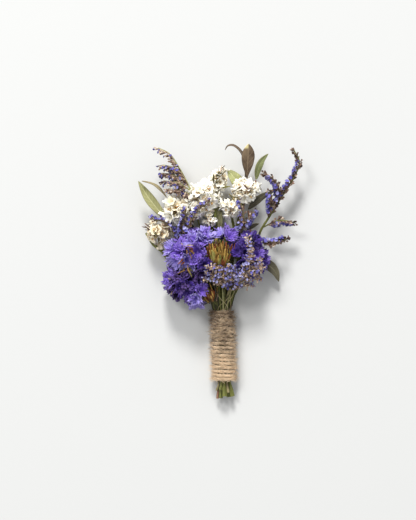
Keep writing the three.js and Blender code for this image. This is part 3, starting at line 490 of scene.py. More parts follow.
# The point and direction at a share of a route's length.
def along(way, share):
    lengths = [0.0]
    for (a, _), (b, _) in zip(way, way[1:]):
        lengths.append(lengths[-1] + (b - a).length)
    goal = share * lengths[-1]
    for i in range(len(way) - 1):
        if lengths[i + 1] >= goal or i == len(way) - 2:
            a, b = way[i][0], way[i + 1][0]
            part = (goal - lengths[i]) / max(1e-6, lengths[i + 1] - lengths[i])
            return a.lerp(b, part), (b - a).normalized()


# The wings of a green stalk, and how much broader they make it.
wing = {"count": 4, "depth": 0.5, "sharpness": 0.7, "steps": 24, "broad": 1.4, "broadest": 1.0,
        "fromRadius": 0.4, "twist": 0.05, "tone": 0.4}


# The section of a winged stalk, for strands of any radius.
def wingedSection():
    outline = bpy.data.curves.new("winged_section", "CURVE")
    outline.dimensions = "2D"
    line = outline.splines.new("POLY")
    line.points.add(wing["steps"] - 1)
    for k in range(wing["steps"]):
        angle = 2 * math.pi * k / wing["steps"]
        reach = 1 - wing["depth"] * (0.5 - 0.5 * math.cos(wing["count"] * angle)) ** wing["sharpness"]
        line.points[k].co = (reach * math.cos(angle), reach * math.sin(angle), 0, 1)
    line.use_cyclic_u = True
    holder = bpy.data.objects.new("winged_section", outline)
    bpy.context.collection.objects.link(holder)
    return holder


tube = {"weld": 0.002, "sharpAngle": math.radians(50)}


# A strand along a route: a round or winged tube, closed at both ends.
def strand(name, points, material, section=None, roundness=1, twist=0.0, tone=0.0):
    path = bpy.data.curves.new(name, "CURVE")
    path.dimensions = "3D"
    path.twist_mode = "MINIMUM"
    line = path.splines.new("POLY")
    line.points.add(len(points) - 1)
    for k, (point, radius) in enumerate(points):
        line.points[k].co = (*point, 1)
        line.points[k].radius = radius
        line.points[k].tilt = twist * k
    if section:
        path.bevel_mode = "OBJECT"
        path.bevel_object = section
    else:
        path.bevel_depth = 1.0
        path.bevel_resolution = roundness
    path.use_fill_caps = True
    path.materials.append(material)
    drawn = bpy.data.objects.new(name, path)
    bpy.context.collection.objects.link(drawn)
    activate(drawn)
    bpy.ops.object.convert(target="MESH")
    made = bpy.context.object
    bpy.ops.object.mode_set(mode="EDIT")
    bpy.ops.mesh.select_all(action="SELECT")
    bpy.ops.mesh.remove_doubles(threshold=tube["weld"])
    bpy.ops.mesh.normals_make_consistent(inside=False)
    bpy.ops.object.mode_set(mode="OBJECT")
    bpy.ops.object.shade_smooth_by_angle(angle=tube["sharpAngle"])
    store(made.data, "tone", [tone] * len(made.data.vertices))
    return made


# Raises the chosen faces of a shape and widens them, in edit mode.
def raiseFaces(rise, stretch, height):
    bpy.ops.mesh.extrude_region_move(TRANSFORM_OT_translate={"value": (0, 0, rise)})
    bpy.ops.transform.resize(value=(stretch, stretch, 1), center_override=(0, 0, height))


# Draws a rim inside the chosen faces, sinks the middle and leaves edit mode.
def hollowFaces(rim, depth):
    bpy.ops.mesh.inset(thickness=rim)
    bpy.ops.transform.translate(value=(0, 0, -depth))
    bpy.ops.object.mode_set(mode="OBJECT")


# Gives a flat blade its wall.
def thicken(blade, thickness):
    wall = blade.modifiers.new("wall", "SOLIDIFY")
    wall.thickness = thickness
    wall.offset = 0


def joinAll(parts):
    deselectAll()
    for part in parts:
        part.select_set(True)
    bpy.context.view_layer.objects.active = parts[0]
    if len(parts) > 1:
        bpy.ops.object.join()
    return bpy.context.object


# Joins the parts of one node into its piece, in metres, and puts it in the frame. No point of a piece
# goes below the floor, or above the frame's box by more than the headroom.
def finishPiece(node, parts):
    piece = joinAll(parts)
    piece.name = node + "_dressed"
    piece.data.name = piece.name
    highest = cadBox[1][2] / mm + resting["headroom"]
    for vertex in piece.data.vertices:
        vertex.co.z = min(max(vertex.co.z, resting["floorGap"]), highest)
    piece.data.transform(Matrix.Scale(mm, 4))
    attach(piece, "root")
    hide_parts(node)
    return piece


# The stem bundle, with the same lanes and routes as the frame's stalks.
bundle = {"wrapLength": 35.0, "halfWidth": 5.7, "halfHeight": 4.7, "lean": math.radians(1.7),
          "height": 4.4, "laneRadius": 0.5, "laneStep": 1.35, "laneRow": 0.67, "outerLaneStep": 1.3,
          "outerLaneRow": 1.85, "splay": 1.45, "cutRise": 1.2, "straight": 12, "belowWrap": 1.2,
          "aboveWrap": 1, "carriedRadius": 0.55, "intoFan": 1.6}
bundleAlong = Vector((-math.sin(bundle["lean"]), math.cos(bundle["lean"]), 0))
bundleAcross = Vector((math.cos(bundle["lean"]), math.sin(bundle["lean"]), 0))


def inBundle(lengthwise, across, above):
    return Vector((0, 0, bundle["height"] + above)) + bundleAlong * lengthwise + bundleAcross * across


# How far up the bundle a point is, and which way is out from its middle line there.
def upBundle(point):
    return (point - inBundle(0, 0, 0)).dot(bundleAlong)


def outOfBundle(point):
    return (point - inBundle(upBundle(point), 0, 0)).normalized()


# Rows count from the lowest, and the first and last row have lanes of their own width.
def laneOf(row, column):
    outer = row in (1, 4)
    above = bundle["outerLaneRow" if outer else "laneRow"]
    return column * bundle["outerLaneStep" if outer else "laneStep"], above if row > 2 else -above


def stalkPoints(lane, way):
    row, column, cut, endRadius = lane[:4]
    across, above = laneOf(row, column)
    splay = lane[4] if len(lane) > 4 else across * bundle["splay"]
    points = [(*inBundle(cut, splay, above * bundle["cutRise"]), endRadius)]
    half = bundle["wrapLength"] / 2
    for lengthwise in (-half - bundle["belowWrap"], -bundle["straight"], bundle["straight"],
                       half + bundle["aboveWrap"]):
        points.append((*inBundle(lengthwise, across, above), bundle["laneRadius"]))
    return points + wayTo(way)


# A name in a way stands for the place where that head or fan is carried.
def wayTo(way):
    points = []
    for point in way:
        if point in bractFans:
            fan = bractFans[point]
            carried = Vector(fan["foot"]) + Vector(fan["along"]).normalized() * bundle["intoFan"]
            point = (*carried, bundle["carriedRadius"])
        elif isinstance(point, str):
            head = violetBlooms.get(point) or whiteHeads.get(point)
            point = (*head["core"], bundle["carriedRadius"])
        points.append(point)
    return points


# Lanes are (row, column, cut end, its radius, and where the end isn't splayed as usual its place across).
# A branch ends at what it carries. Stems of a neck are (across and above in the twine's mouth, end,
# radius, finish).
stalks = {
    "twig_left": {"lane": (2, -2, -26, 0.6, -3.6), "finish": "brown_twig", "way": [
        (-8, 27, 3.2, 0.6), (-14, 39, 2.6, 0.6), (-21, 51, 3.6, 0.55), (-25.8, 60, 5.6, 0.5),
        (-27.4, 71.6, 8.8, 0.42)], "branches": [
            [(-25.2, 58.5, 5.3, 0.45), (-26.8, 60.2, 6, 0.42), (-28.3, 61.7, 7, 0.4)]]},
    "twig_top": {"lane": (1, 0, -19.5, 0.46), "finish": "brown_twig", "way": [
        (0.3, 30, 1.7, 0.55), (2.4, 45, 1.5, 0.55), (6.5, 58, 1.6, 0.55), (10.2, 69, 2.2, 0.5),
        (11.2, 75.6, 4.4, 0.45), (11.6, 80.8, 7.8, 0.42)], "branches": [
            [(11, 74, 3.8, 0.45), (13.8, 77.4, 5.8, 0.42), (15.9, 80.3, 8, 0.4)],
            [(9.6, 67, 2.1, 0.45), (9.2, 71.5, 3.6, 0.42), (8.4, 76.1, 5, 0.4)]]},
    "twig_right": {"lane": (1, 1, -21, 0.5), "finish": "brown_twig", "way": [
        (4.4, 29, 1.9, 0.55), (9.5, 38, 1.9, 0.55), (12.4, 47, 2.2, 0.55), (13.2, 56, 4, 0.5),
        (12.15, 65.7, 7.8, 0.42)], "branches": [
            [(9, 37, 1.9, 0.45), (14, 39.2, 2.4, 0.42), (17.8, 40.2, 3.7, 0.4)],
            [(12.9, 51, 2.8, 0.45), (11.8, 53.8, 5.6, 0.42), (11.35, 55.9, 8.4, 0.4)]]},
    "white_stalk_left": {"lane": (2, -1, -25.2, 1.1), "finish": "green_stem", "way": [
        (-6.2, 28, 4.4, 1), (-12, 40, 5.2, 1), (-17.6, 52, 5.6, 0.9), "white_head_left"], "branches": [
            [(-7.4, 30.5, 4.6, 0.8), (-17, 35.5, 4.4, 0.9), (-26, 41, 4.8, 0.9), (-30, 47, 6, 0.7),
             "white_head_far_left"],
            [(-29.4, 45.6, 5.7, 0.5), (-34, 49.4, 7, 0.6), (-37.6, 54.8, 8.4, 0.45)],
            [(-15.5, 48.5, 5.5, 0.6), (-15, 58, 6.6, 0.6), "white_head_mid_left"]]},
    "white_stalk_centre": {"lane": (2, 0, -24.4, 1), "finish": "green_stem", "way": [
        (-1, 30, 4.7, 0.9), (-2.4, 45, 5.2, 0.9), (-4.4, 60, 6.2, 0.8), "white_head_centre"], "branches": [
            [(-3.8, 57, 6, 0.6), (-2.6, 69, 6.4, 0.6), "white_head_top"],
            [(-3.4, 52, 5.6, 0.5), (-5.4, 56.6, 7, 0.5), "white_head_mid_small"],
            [(-3.0, 51, 5.7, 0.5), (-3.6, 58, 9.8, 0.6), (-3.9, 65, 11.6, 0.6), (-4.2, 73, 11.8, 0.5)]]},
    "white_stalk_right": {"lane": (2, 1, -25.4, 1.1), "finish": "green_stem", "way": [
        (2.6, 30, 4.5, 0.9), (4.8, 45, 5, 0.9), (7.4, 60, 5.8, 0.8), "white_head_right"], "branches": [
            [(6.2, 54, 5.6, 0.5), (4.6, 60.4, 7, 0.5), "white_head_mid_right"]]},
    "violet_stalk_left": {"lane": (3, -1, -25.7, 1.1), "finish": "green_stem", "neck": [
        ((-4.3, 0.4), (-8.4, 27.5, 6.4), 0.62, "dark_stem"),
        ((-3.7, 1.3), (-7.8, 29, 8.6), 0.55, "green_stem"),
        ((-3.0, 2.0), (-6.0, 31, 10.6), 0.62, "dark_stem"),
        ((-2.2, 2.6), (-4.4, 33, 12.2), 0.5, "green_stem"),
        ((-1.4, 2.9), (-3.4, 33, 13), 0.58, "dark_stem")], "way": [
        (-5, 26, 6.8, 1), (-9, 35, 8.2, 1), "violet_bloom_top_left"], "branches": [
            [(-8.6, 34, 8.1, 0.7), (-14, 39.5, 9.2, 0.7), "violet_bloom_left"],
            [(-7.4, 31.4, 7.7, 0.6), (-8.8, 36, 10.6, 0.6), "violet_bloom_centre"]]},
    "violet_stalk_lower": {"lane": (4, -1, -21.5, 0.8), "finish": "green_stem", "way": [
        (-4.2, 21.5, 7.4, 0.8), (-9, 27.4, 7.2, 0.9), "violet_bloom_lower_left"], "branches": [
            [(-5, 22.6, 7.4, 0.6), (-8.2, 24.4, 8.4, 0.6), "violet_bloom_bottom"],
            [(-3.6, 20.4, 7.4, 0.45), (-4.4, 21.4, 8.6, 0.45), "bract_fan_low"]]},
    "violet_stalk_centre": {"lane": (4, 0, -24.8, 1), "finish": "green_stem", "neck": [
        ((-0.6, 3.1), (-2.0, 33, 13.6), 0.5, "green_stem"), ((0.2, 3.2), (-0.6, 32, 13.6), 0.6, "dark_stem"),
        ((1.0, 3.1), (0.9, 31, 13), 0.5, "green_stem"), ((0.5, 3.7), (-0.4, 29.5, 14.6), 0.3, "pale_stem"),
        ((2.8, 3.1), (-3.4, 25.4, 13.4), 0.13, "straw"), ((1.6, 3.5), (6.0, 27.8, 13.8), 0.12, "straw"),
        ((-1.8, 3.4), (3.2, 24.6, 13.6), 0.12, "straw")], "way": [
        (-0.8, 24, 8.4, 0.9), (-0.8, 30, 11, 0.8), "bract_fan_centre"], "branches": []},
    "violet_stalk_right": {"lane": (3, 2, -25, 1.1), "finish": "green_stem", "neck": [
        ((1.8, 2.9), (2.4, 31, 12.6), 0.6, "dark_stem"), ((2.5, 2.5), (3.4, 31, 12), 0.5, "green_stem"),
        ((3.2, 1.9), (4.4, 31, 10.8), 0.6, "dark_stem"), ((3.8, 1.2), (5.2, 30, 9), 0.5, "green_stem"),
        ((4.3, 0.3), (6.2, 29, 6.8), 0.6, "dark_stem"), ((4.2, 1.8), (3.6, 27, 12.8), 0.16, "straw"),
        ((2.2, 3.0), (4.6, 29, 13), 0.26, "pale_stem")], "way": [
        (5, 27, 6.6, 1), (6.4, 36, 8.4, 1), "violet_bloom_right"], "branches": [
            [(5.4, 30, 7.2, 0.7), (3.2, 40, 8.8, 0.7), "violet_bloom_top"],
            [(6.2, 35, 8.2, 0.7), (9.4, 42, 8.2, 0.7), "violet_bloom_side_top"],
            [(5.8, 32, 7.6, 0.7), (11, 37.6, 7.2, 0.6), "violet_bloom_side"]]},
}

# Flowers on the stem of a spray are (from, to, florets, side), and branches are (points, florets, side).
# The side is the one that the florets lean to.
sprays = {
    "sea_lavender_top_left": {"lane": (1, -1, -20, 0.45), "way": [
        (-3.4, 28, 1.8, 0.45), (-7.4, 44, 2, 0.45), (-12, 60, 4.4, 0.45), (-14.6, 72.3, 10.4, 0.45),
        (-17, 78.1, 11.4, 0.42), (-22.3, 87.8, 12.4, 0.38), (-26.2, 93.1, 12.6, 0.34),
        (-31.4, 95.8, 12, 0.3)],
        "flowers": (0.8, 1, 8, 1), "blue": 0.28, "pale": 0.3, "beige": 0.62, "flip": 0.0, "size": 0.78,
        "density": 2.3, "scatter": 0.55, "reach": (0.9, 1.7), "corolla": 1.05,
        "stem": "pale_stem", "branches": [
            ([(-19.7, 83.4, 12.1, 0.34), (-24.4, 86.4, 13.4, 0.32), (-29.4, 87.6, 13, 0.28)], 6, 1),
            ([(-17.6, 79.2, 11.6, 0.34), (-23.4, 82.4, 14, 0.32), (-29.4, 83.6, 13.2, 0.28)], 7, 1),
            ([(-16, 75.4, 11.05, 0.34), (-22, 78.9, 14.8, 0.32), (-28.8, 79.9, 13.4, 0.28)], 7, 1),
            ([(-14.9, 72.9, 10.6, 0.34), (-20.4, 75.2, 15.2, 0.32), (-26.6, 76, 14, 0.28)], 6, 1)]},
    "sea_lavender_right": {"lane": (2, 2, -22.5, 0.6), "way": [
        (6.6, 27, 4.1, 0.6), (11.6, 36.5, 4.2, 0.6), (15.8, 46.5, 4.6, 0.6), (18, 55.3, 6, 0.6),
        (22.3, 62.6, 7.6, 0.55), (27.4, 71, 9.4, 0.5), (33.8, 81, 11.2, 0.42), (36.8, 89, 12, 0.34),
        (34, 95.1, 12, 0.3)],
        "flowers": (0.7, 1, 17, 1), "blue": 0.95, "pale": 0.25, "flip": 0.3, "brownTip": 0.2, "size": 0.9,
        "density": 2.1, "scatter": 0.4, "corolla": 1.12,
        "stem": "green_stem", "branches": [
            ([(26.4, 69.4, 9.1, 0.35), (27, 75.7, 11.4, 0.33), (23.6, 81.2, 12.2, 0.3),
              (19.6, 83.8, 12, 0.28)], 8, 1),
            ([(24.6, 66.4, 8.4, 0.35), (23.2, 70.4, 11, 0.32), (22.6, 75, 12, 0.28)], 5, 1),
            ([(19.4, 57.6, 6.5, 0.35), (25.7, 60.6, 8.6, 0.33), (30, 60.8, 9.4, 0.3),
              (34.9, 59.7, 9.4, 0.28)], 5, -1),
            ([(17, 50.4, 5.1, 0.35), (22.4, 49.6, 8.4, 0.33), (26.6, 50.4, 10, 0.3),
              (31, 51.9, 10.4, 0.28)], 7, 1)]},
    "sea_lavender_left": {"lane": (3, -2, -22, 0.6), "way": [
        (-7.6, 26.6, 5.6, 0.6), (-13.6, 38, 6.6, 0.55), (-19.6, 48.5, 7, 0.5), (-24.4, 55, 10.6, 0.42),
        (-28.6, 60, 12.6, 0.36), (-34.9, 61.6, 12.8, 0.3)],
        "flowers": (0.8, 1, 8, -1), "blue": 0.9, "pale": 0.3, "size": 0.84, "density": 2.0, "scatter": 0.5,
        "corolla": 1.12, "branches": [
            ([(-18.4, 46.6, 6.9, 0.35), (-17.4, 56, 13, 0.33), (-12, 65.6, 17, 0.3),
              (-6.3, 69.8, 17.4, 0.28)], 9, 1),
            ([(-20.4, 49.8, 7.4, 0.35), (-19.6, 57.4, 14, 0.33), (-18, 66, 17, 0.28)], 6, 1)]},
    "sea_lavender_centre": {"lane": (3, 1, -20.5, 0.55), "way": [
        (2.6, 27.6, 6.2, 0.55), (3, 38, 6.6, 0.5), (5.8, 49, 7.2, 0.48), (9.4, 57.2, 12.6, 0.42),
        (9.6, 63.5, 17, 0.34), (8, 69.4, 18, 0.28)],
        "flowers": (0.8, 1, 7, 1), "blue": 0.95, "pale": 0.45, "size": 0.86, "density": 2.0, "scatter": 0.5,
        "corolla": 1.2, "branches": [
            ([(9.2, 56.4, 11.9, 0.35), (11.6, 60.6, 15, 0.32), (15, 65, 16, 0.28)], 6, -1)]},
    "sea_lavender_front": {"lane": (4, 1, -23, 0.7), "way": [
        (1.4, 22.6, 8.8, 0.6), (3, 27.4, 12.6, 0.5), (4.2, 32.4, 16.6, 0.42), (5.6, 38.4, 20.4, 0.3)],
        "flowers": (0.84, 1, 6, 1), "blue": 0.7, "pale": 0.75, "beige": 0.8, "size": 0.72, "density": 3.2,
        "scatter": 1.1, "reach": (0.6, 1.4), "corolla": 1.0, "branches": [
            ([(4.2, 32.4, 16.6, 0.33), (3.4, 35.8, 20.4, 0.3), (1.8, 38.6, 22.4, 0.26)], 7, -1),
            ([(3.2, 28.4, 13.2, 0.33), (0, 31.8, 17.6, 0.3), (-4, 34.4, 20.6, 0.28),
              (-8, 34.8, 21.8, 0.24)], 9, -1),
            ([(3.6, 29.8, 14.4, 0.33), (7, 33.2, 18, 0.3), (11, 34.8, 18.8, 0.28),
              (15, 35, 18.2, 0.24)], 8, 1),
            ([(3.9, 31, 15.4, 0.35), (9, 35.4, 18.6, 0.33), (14, 37.4, 19.4, 0.3),
              (19, 37.6, 18.4, 0.28)], 10, 1),
            ([(3.4, 28.8, 13.6, 0.35), (8.4, 31.4, 16.4, 0.33), (13, 32.6, 17.4, 0.3),
              (17.4, 32.4, 17, 0.28)], 9, 1),
            ([(2.6, 26.4, 11.8, 0.35), (6.6, 28.2, 14.2, 0.33), (10.4, 29.4, 15.2, 0.3),
              (13.4, 29.2, 15, 0.28)], 5, 1),
            ([(3.6, 29.8, 14.4, 0.35), (0.8, 34.4, 19, 0.33), (-3, 37.4, 21.6, 0.3),
              (-7.4, 38, 22.4, 0.28)], 8, -1),
            ([(2.8, 27, 12.2, 0.35), (-0.8, 29.8, 16.2, 0.33), (-4.6, 31.6, 19, 0.3),
              (-9.2, 32, 20.6, 0.28)], 8, -1),
            ([(9, 35.4, 18.6, 0.33), (12.2, 41, 20.6, 0.3), (13.6, 47, 19.8, 0.28),
              (11.6, 52.6, 18, 0.24)], 10, 1),
            ([(13, 32.6, 17.4, 0.3), (16.6, 37, 19.6, 0.28), (17.6, 42, 19, 0.24)], 5, 1)]},
}

# The sides of a bloom are (direction, finish, least likeness to it), and pale and deep are shares of it.
violetBlooms = {
    "violet_bloom_left": {
        "core": (-19.6, 44.6, 12.6), "axis": (-0.65, 0.1, 0.75), "scale": 0.92, "coreRadius": 2.4,
        "finish": "violet_petal", "flowers": 14, "pale": 0.1,
        "sides": [((-1, -0.2, 0.1), "lavender_petal", 0.45), ((0.3, -1, 0.3), "lavender_petal", 0.6)],
        "tufts": [((-16.2, 47.4, 21.4), (0.6, -0.4, 0.7), "rust_bract", 3, -1.0),
                  ((-16.2, 46.2, 21.2), (0.6, -0.7, 0.7), "ochre_bract", 5, -0.7),
                  ((-19.4, 48.8, 21.2), (0.9, -0.3, 0.3), "beige_calyx", 2, 0.4)]},
    "violet_bloom_top_left": {
        "core": (-10.8, 47.4, 13.6), "axis": (-0.2, 0.35, 0.9), "scale": 1.02, "coreRadius": 2.8,
        "finish": "violet_petal", "flowers": 15, "pale": 0.25,
        "lower": [(0.3, 0.7, 0.65), (0.0, 0.55, 0.85)]},
    "violet_bloom_top": {
        "core": (0.6, 50.2, 13), "axis": (0.05, 0.5, 0.84), "scale": 0.82, "coreRadius": 2.3,
        "finish": "violet_petal", "flowers": 11, "pale": 0.1,
        "sides": [((-1, 0.2, 0.3), "lavender_petal", 0.4)]},
    "violet_bloom_right": {
        "core": (7.6, 44.2, 14), "axis": (0.15, 0.1, 0.95), "scale": 0.82, "coreRadius": 2.3,
        "finish": "deep_violet_petal", "flowers": 12, "pale": 0.0,
        "tufts": [((3.8, 45.6, 20.8), (0.3, 0.5, 0.7), "rust_bract", 4, 0.1)]},
    "violet_bloom_side_top": {
        "core": (12.4, 49.4, 10.6), "axis": (0.3, 0.45, 0.8), "scale": 0.72, "coreRadius": 2,
        "finish": "violet_petal", "flowers": 10, "deep": 0.4},
    "violet_bloom_side": {
        "core": (15, 42.4, 8.7), "axis": (0.5, 0.05, 0.8), "scale": 0.78, "coreRadius": 2,
        "finish": "violet_petal", "flowers": 12, "deep": 0.5, "lower": [(0.5, -0.35, -0.8)],
        "tufts": [((13.6, 41.8, 17.6), (-0.2, 0.1, 0.9), "rust_bract", 5, -0.2)]},
    "violet_bloom_centre": {
        "core": (-10, 40.2, 15), "axis": (-0.1, -0.1, 0.97), "scale": 0.82, "coreRadius": 2.3,
        "finish": "violet_petal", "flowers": 12, "deep": 0.15,
        "sides": [((-1, -0.4, 0.3), "lavender_petal", 0.6), ((0.2, -1, 0.1), "dusk_petal", 0.35)],
        "tufts": [((-17.2, 38.2, 18.6), (-0.3, -0.5, 0.7), "ochre_bract", 5, -1.0),
                  ((-15.4, 37.8, 18.8), (0.3, -0.5, 0.7), "olive_bract", 4, 0.2),
                  ((-19.4, 41.4, 20.2), (-0.3, -0.3, 0.8), "rust_bract", 2, 0.3)]},
    "violet_bloom_lower_left": {
        "core": (-18.8, 31.6, 9.4), "axis": (-0.6, -0.1, 0.65), "scale": 1.1, "coreRadius": 2.8,
        "finish": "dusk_petal", "flowers": 19, "deep": 0.2, "lower": [(-0.35, 0, -0.9)],
        "sides": [((-1, 0.15, 0.15), "lavender_petal", 0.8), ((-1, 0.15, 0.15), "violet_petal", 0.6)],
        "tufts": [((-24.6, 33.6, 12.4), (-0.6, 0.0, 0.8), "beige_calyx", 3, 0.0),
                  ((-23.6, 28.6, 12.4), (-0.5, -0.4, 0.8), "beige_calyx", 3, 0.0)]},
    "violet_bloom_bottom": {
        "core": (-13, 25.8, 11.6), "axis": (-0.25, -0.45, 0.85), "scale": 0.78, "coreRadius": 2.2,
        "finish": "violet_petal", "flowers": 12, "pale": 0.15,
        "sides": [((0.7, -0.7, 0.1), "lilac_petal", 0.72), ((0.5, -0.9, 0.3), "lavender_petal", 0.3)]},
}

# The flowers of a head are shorter on a side given as (direction, least likeness to it).
whiteHeads = {
    "white_head_left": {"core": (-22.3, 66.4, 9.2), "axis": (-0.15, 0.15, 0.95), "scale": 1.1,
                        "coreRadius": 2.4, "flowers": 48, "cream": 0.2},
    "white_head_far_left": {"core": (-31.4, 54.8, 8.8), "axis": (-0.1, 0.15, 0.95), "scale": 0.96,
                            "coreRadius": 2, "flowers": 32, "cream": 0.95,
                            "tufts": [((-35.4, 56.4, 12.4), (-0.6, 0.4, 0.7), "brown_calyx", 5, 0.0),
                                      ((-33.4, 54.6, 13), (0.5, -0.6, 0.5), "olive_bract", 4, 0.2)]},
    "white_head_mid_left": {"core": (-14.8, 67.2, 9.4), "axis": (0, 0.1, 0.98), "scale": 1,
                            "coreRadius": 2, "flowers": 36},
    "white_head_centre": {"core": (-8.2, 72.8, 8.8), "axis": (-0.05, 0.25, 0.95), "scale": 1.2,
                          "coreRadius": 2.6, "flowers": 52, "lower": [(-0.1, 0.25, -0.95)],
                          "tufts": [((-0.4, 76.6, 14.8), (0.9, 0.1, 0.3), "green_bract", 3, -0.2)]},
    "white_head_top": {"core": (-1.9, 80.4, 9.4), "axis": (0, 0.5, 0.85), "scale": 0.88,
                       "coreRadius": 1.8, "flowers": 30, "short": [((1, 0, 0.2), 0.6)],
                       "tufts": [((-4.4, 78.4, 14), (0.1, 0.9, 0.4), "olive_bract", 3, 0.2),
                                 ((-2.9, 81, 14.6), (0.3, 0.9, 0.3), "olive_bract", 5, 0.0),
                                 ((-1.6, 84, 13.8), (0.2, 0.9, 0.2), "olive_bract", 4, 0.3),
                                 ((-1.4, 84.6, 13.4), (0.1, 0.9, 0.2), "beige_calyx", 3, 0.2)]},
    "white_head_right": {"core": (11, 75.8, 10), "axis": (0, 0.2, 0.95), "scale": 0.98,
                         "coreRadius": 2.2, "flowers": 48, "short": [((0.15, 1, 0.35), 0.74)],
                         "tufts": [((12.8, 76, 15.2), (0.4, 0.3, 0.8), "brown_calyx", 4, 0.0),
                                   ((9.8, 73.4, 15.2), (0, -0.3, 0.9), "brown_calyx", 3, 0.0)]},
    "white_head_mid_right": {"core": (3.6, 67, 10.6), "axis": (-0.05, 0.1, 0.97), "scale": 0.8,
                             "coreRadius": 1.7, "flowers": 28,
                             "tufts": [((3.7, 72.6, 14.6), (0.6, -0.7, 0.4), "olive_bract", 3, 0.5)]},
    "white_head_mid_small": {"core": (-6.6, 61.4, 10), "axis": (-0.1, 0, 0.97), "scale": 0.6,
                             "coreRadius": 1.4, "flowers": 14},
}

# Tiers are (start along the fan, reach, how many round it, how far out).
bractFans = {
    "bract_fan_centre": {"foot": (-1.9, 38, 15), "along": (-0.06, 0.8, 0.6), "length": 13.6, "width": 5.2,
                         "depth": 3.4, "lighter": 0.0, "spread": 1.02,
                         "finishes": ("ochre_bract", "ochre_bract", "rust_bract", "green_bract",
                                      "brown_calyx"),
                         "tiers": [(0.02, 0.4, 16, 1.0), (0.16, 0.4, 18, 1.0), (0.3, 0.38, 19, 0.97),
                                   (0.44, 0.36, 18, 0.92), (0.56, 0.38, 14, 0.8), (0.62, 0.4, 10, 0.55),
                                   (0.64, 0.4, 6, 0.25)]},
    "bract_fan_low": {"foot": (-5, 21.6, 10.4), "along": (-0.35, 0.8, 0.5), "length": 9.0, "width": 3.6,
                      "depth": 2.6, "lighter": -0.2, "spread": 1.15,
                      "finishes": ("olive_bract", "ochre_bract", "brown_calyx", "olive_bract", "ochre_bract"),
                      "tiers": [(0.02, 0.45, 10, 1.1), (0.2, 0.45, 10, 1.1), (0.4, 0.45, 10, 1.0),
                                (0.6, 0.4, 7, 0.6)]},
}


cutEnd = {"below": -19.0, "facing": -0.7}
neck = {"underWrap": 3, "narrower": 0.75, "lower": 0.8, "bend": 0.55, "stray": 0.5, "rise": 0.6,
        "thickness": (0.6, 1, 1.1, 0.4), "twist": (0.02, 0.1), "tone": (-0.7, 0.5)}


# The cut face at a stem's lower end shows its pale pith.
def paintCut(stem, pith):
    stem.data.materials.append(pith)
    for face in stem.data.polygons:
        if face.center.y < cutEnd["below"] and face.normal.y < cutEnd["facing"]:
            face.material_index = 1


def makeStalk(node, plan, materials, section):
    draw = random.Random(node)
    winged = plan["finish"] == "green_stem"
    parts = []
    for points in [stalkPoints(plan["lane"], plan["way"])] + [wayTo(branch) for branch in plan["branches"]]:
        way = smoothRoute(points)
        if winged:
            way = [(point, min(radius * wing["broad"], wing["broadest"])) for point, radius in way]
        parts.append(strand(node, way, materials[plan["finish"]], section if winged else None, 2,
                            twist=wing["twist"] if winged else 0.0,
                            tone=draw.uniform(-wing["tone"], wing["tone"])))
    paintCut(parts[0], materials["cut_end"])
    half = bundle["wrapLength"] / 2
    for (across, above), end, radius, finish in plan.get("neck", []):
        low = inBundle(half - neck["underWrap"], across * neck["narrower"], above * neck["lower"])
        mouth = inBundle(half + bundle["aboveWrap"], across, above)
        stray = Vector((draw.uniform(-neck["stray"], neck["stray"]), 0, neck["rise"]))
        middle = mouth.lerp(Vector(end), neck["bend"]) + stray
        way = smoothRoute([(*point, radius * share)
                           for point, share in zip((low, mouth, middle, end), neck["thickness"])])
        parts.append(strand(node, way, materials[finish], section if radius > wing["fromRadius"] else None,
                            twist=draw.uniform(*neck["twist"]), tone=draw.uniform(*neck["tone"])))
    return finishPiece(node, parts)


# Violet statice has ruffled papery calyces, and white statice has small crinkled cups.
calyx = {"foot": 0.42, "rings": [(2.4, 0.8), (4.3, 1.6), (5.7, 2.6), (6.7, 3.6), (7.3, 4.5)],
         "wall": 0.14, "columns": 96, "bigWaves": 3, "smallWaves": 24, "fineWaves": 7,
         "wide": (0.08, 0.085, 0.08), "high": (0.055, 0.1, 0.065), "torn": 0.055,
         "crumple": 0.85, "crumpleScale": 0.55, "phase": 1.3, "nextPhase": 2.1, "shapes": 3}
innerFrill = {"foot": 0.4, "rings": [(4.8, 1.1), (6.2, 2.1), (7.1, 3.0)],
              "wall": 0.14, "columns": 52, "bigWaves": 3, "smallWaves": 13, "fineWaves": 5,
              "wide": (0.18, 0.14, 0.15), "high": (0.06, 0.1, 0.05), "torn": 0.04,
              "crumple": 0.8, "crumpleScale": 0.5, "laterPhase": 0.9}
cup = {"foot": 0.35, "rings": [(1.7, 0.6), (3.0, 1.2), (4.0, 2.1), (4.6, 2.9)], "wall": 0.16,
       "columns": 24, "bigWaves": 5, "smallWaves": 8, "fineWaves": 0,
       "wide": (0.16, 0.1, 0.0), "high": (0.08, 0.07, 0.0), "torn": 0.06,
       "crumple": 0.95, "crumpleScale": 0.62, "phase": 0.7, "nextPhase": 1.9, "shapes": 3}
ruffle = {"seed": 5, "from": 0.3, "growth": 1.3, "innerLift": 0.6, "leastRadius": 0.1,
          "smallPhase": 2.3, "smallSway": 1.4, "finePhase": 3.1, "crumplePlace": (7, 3, 0)}


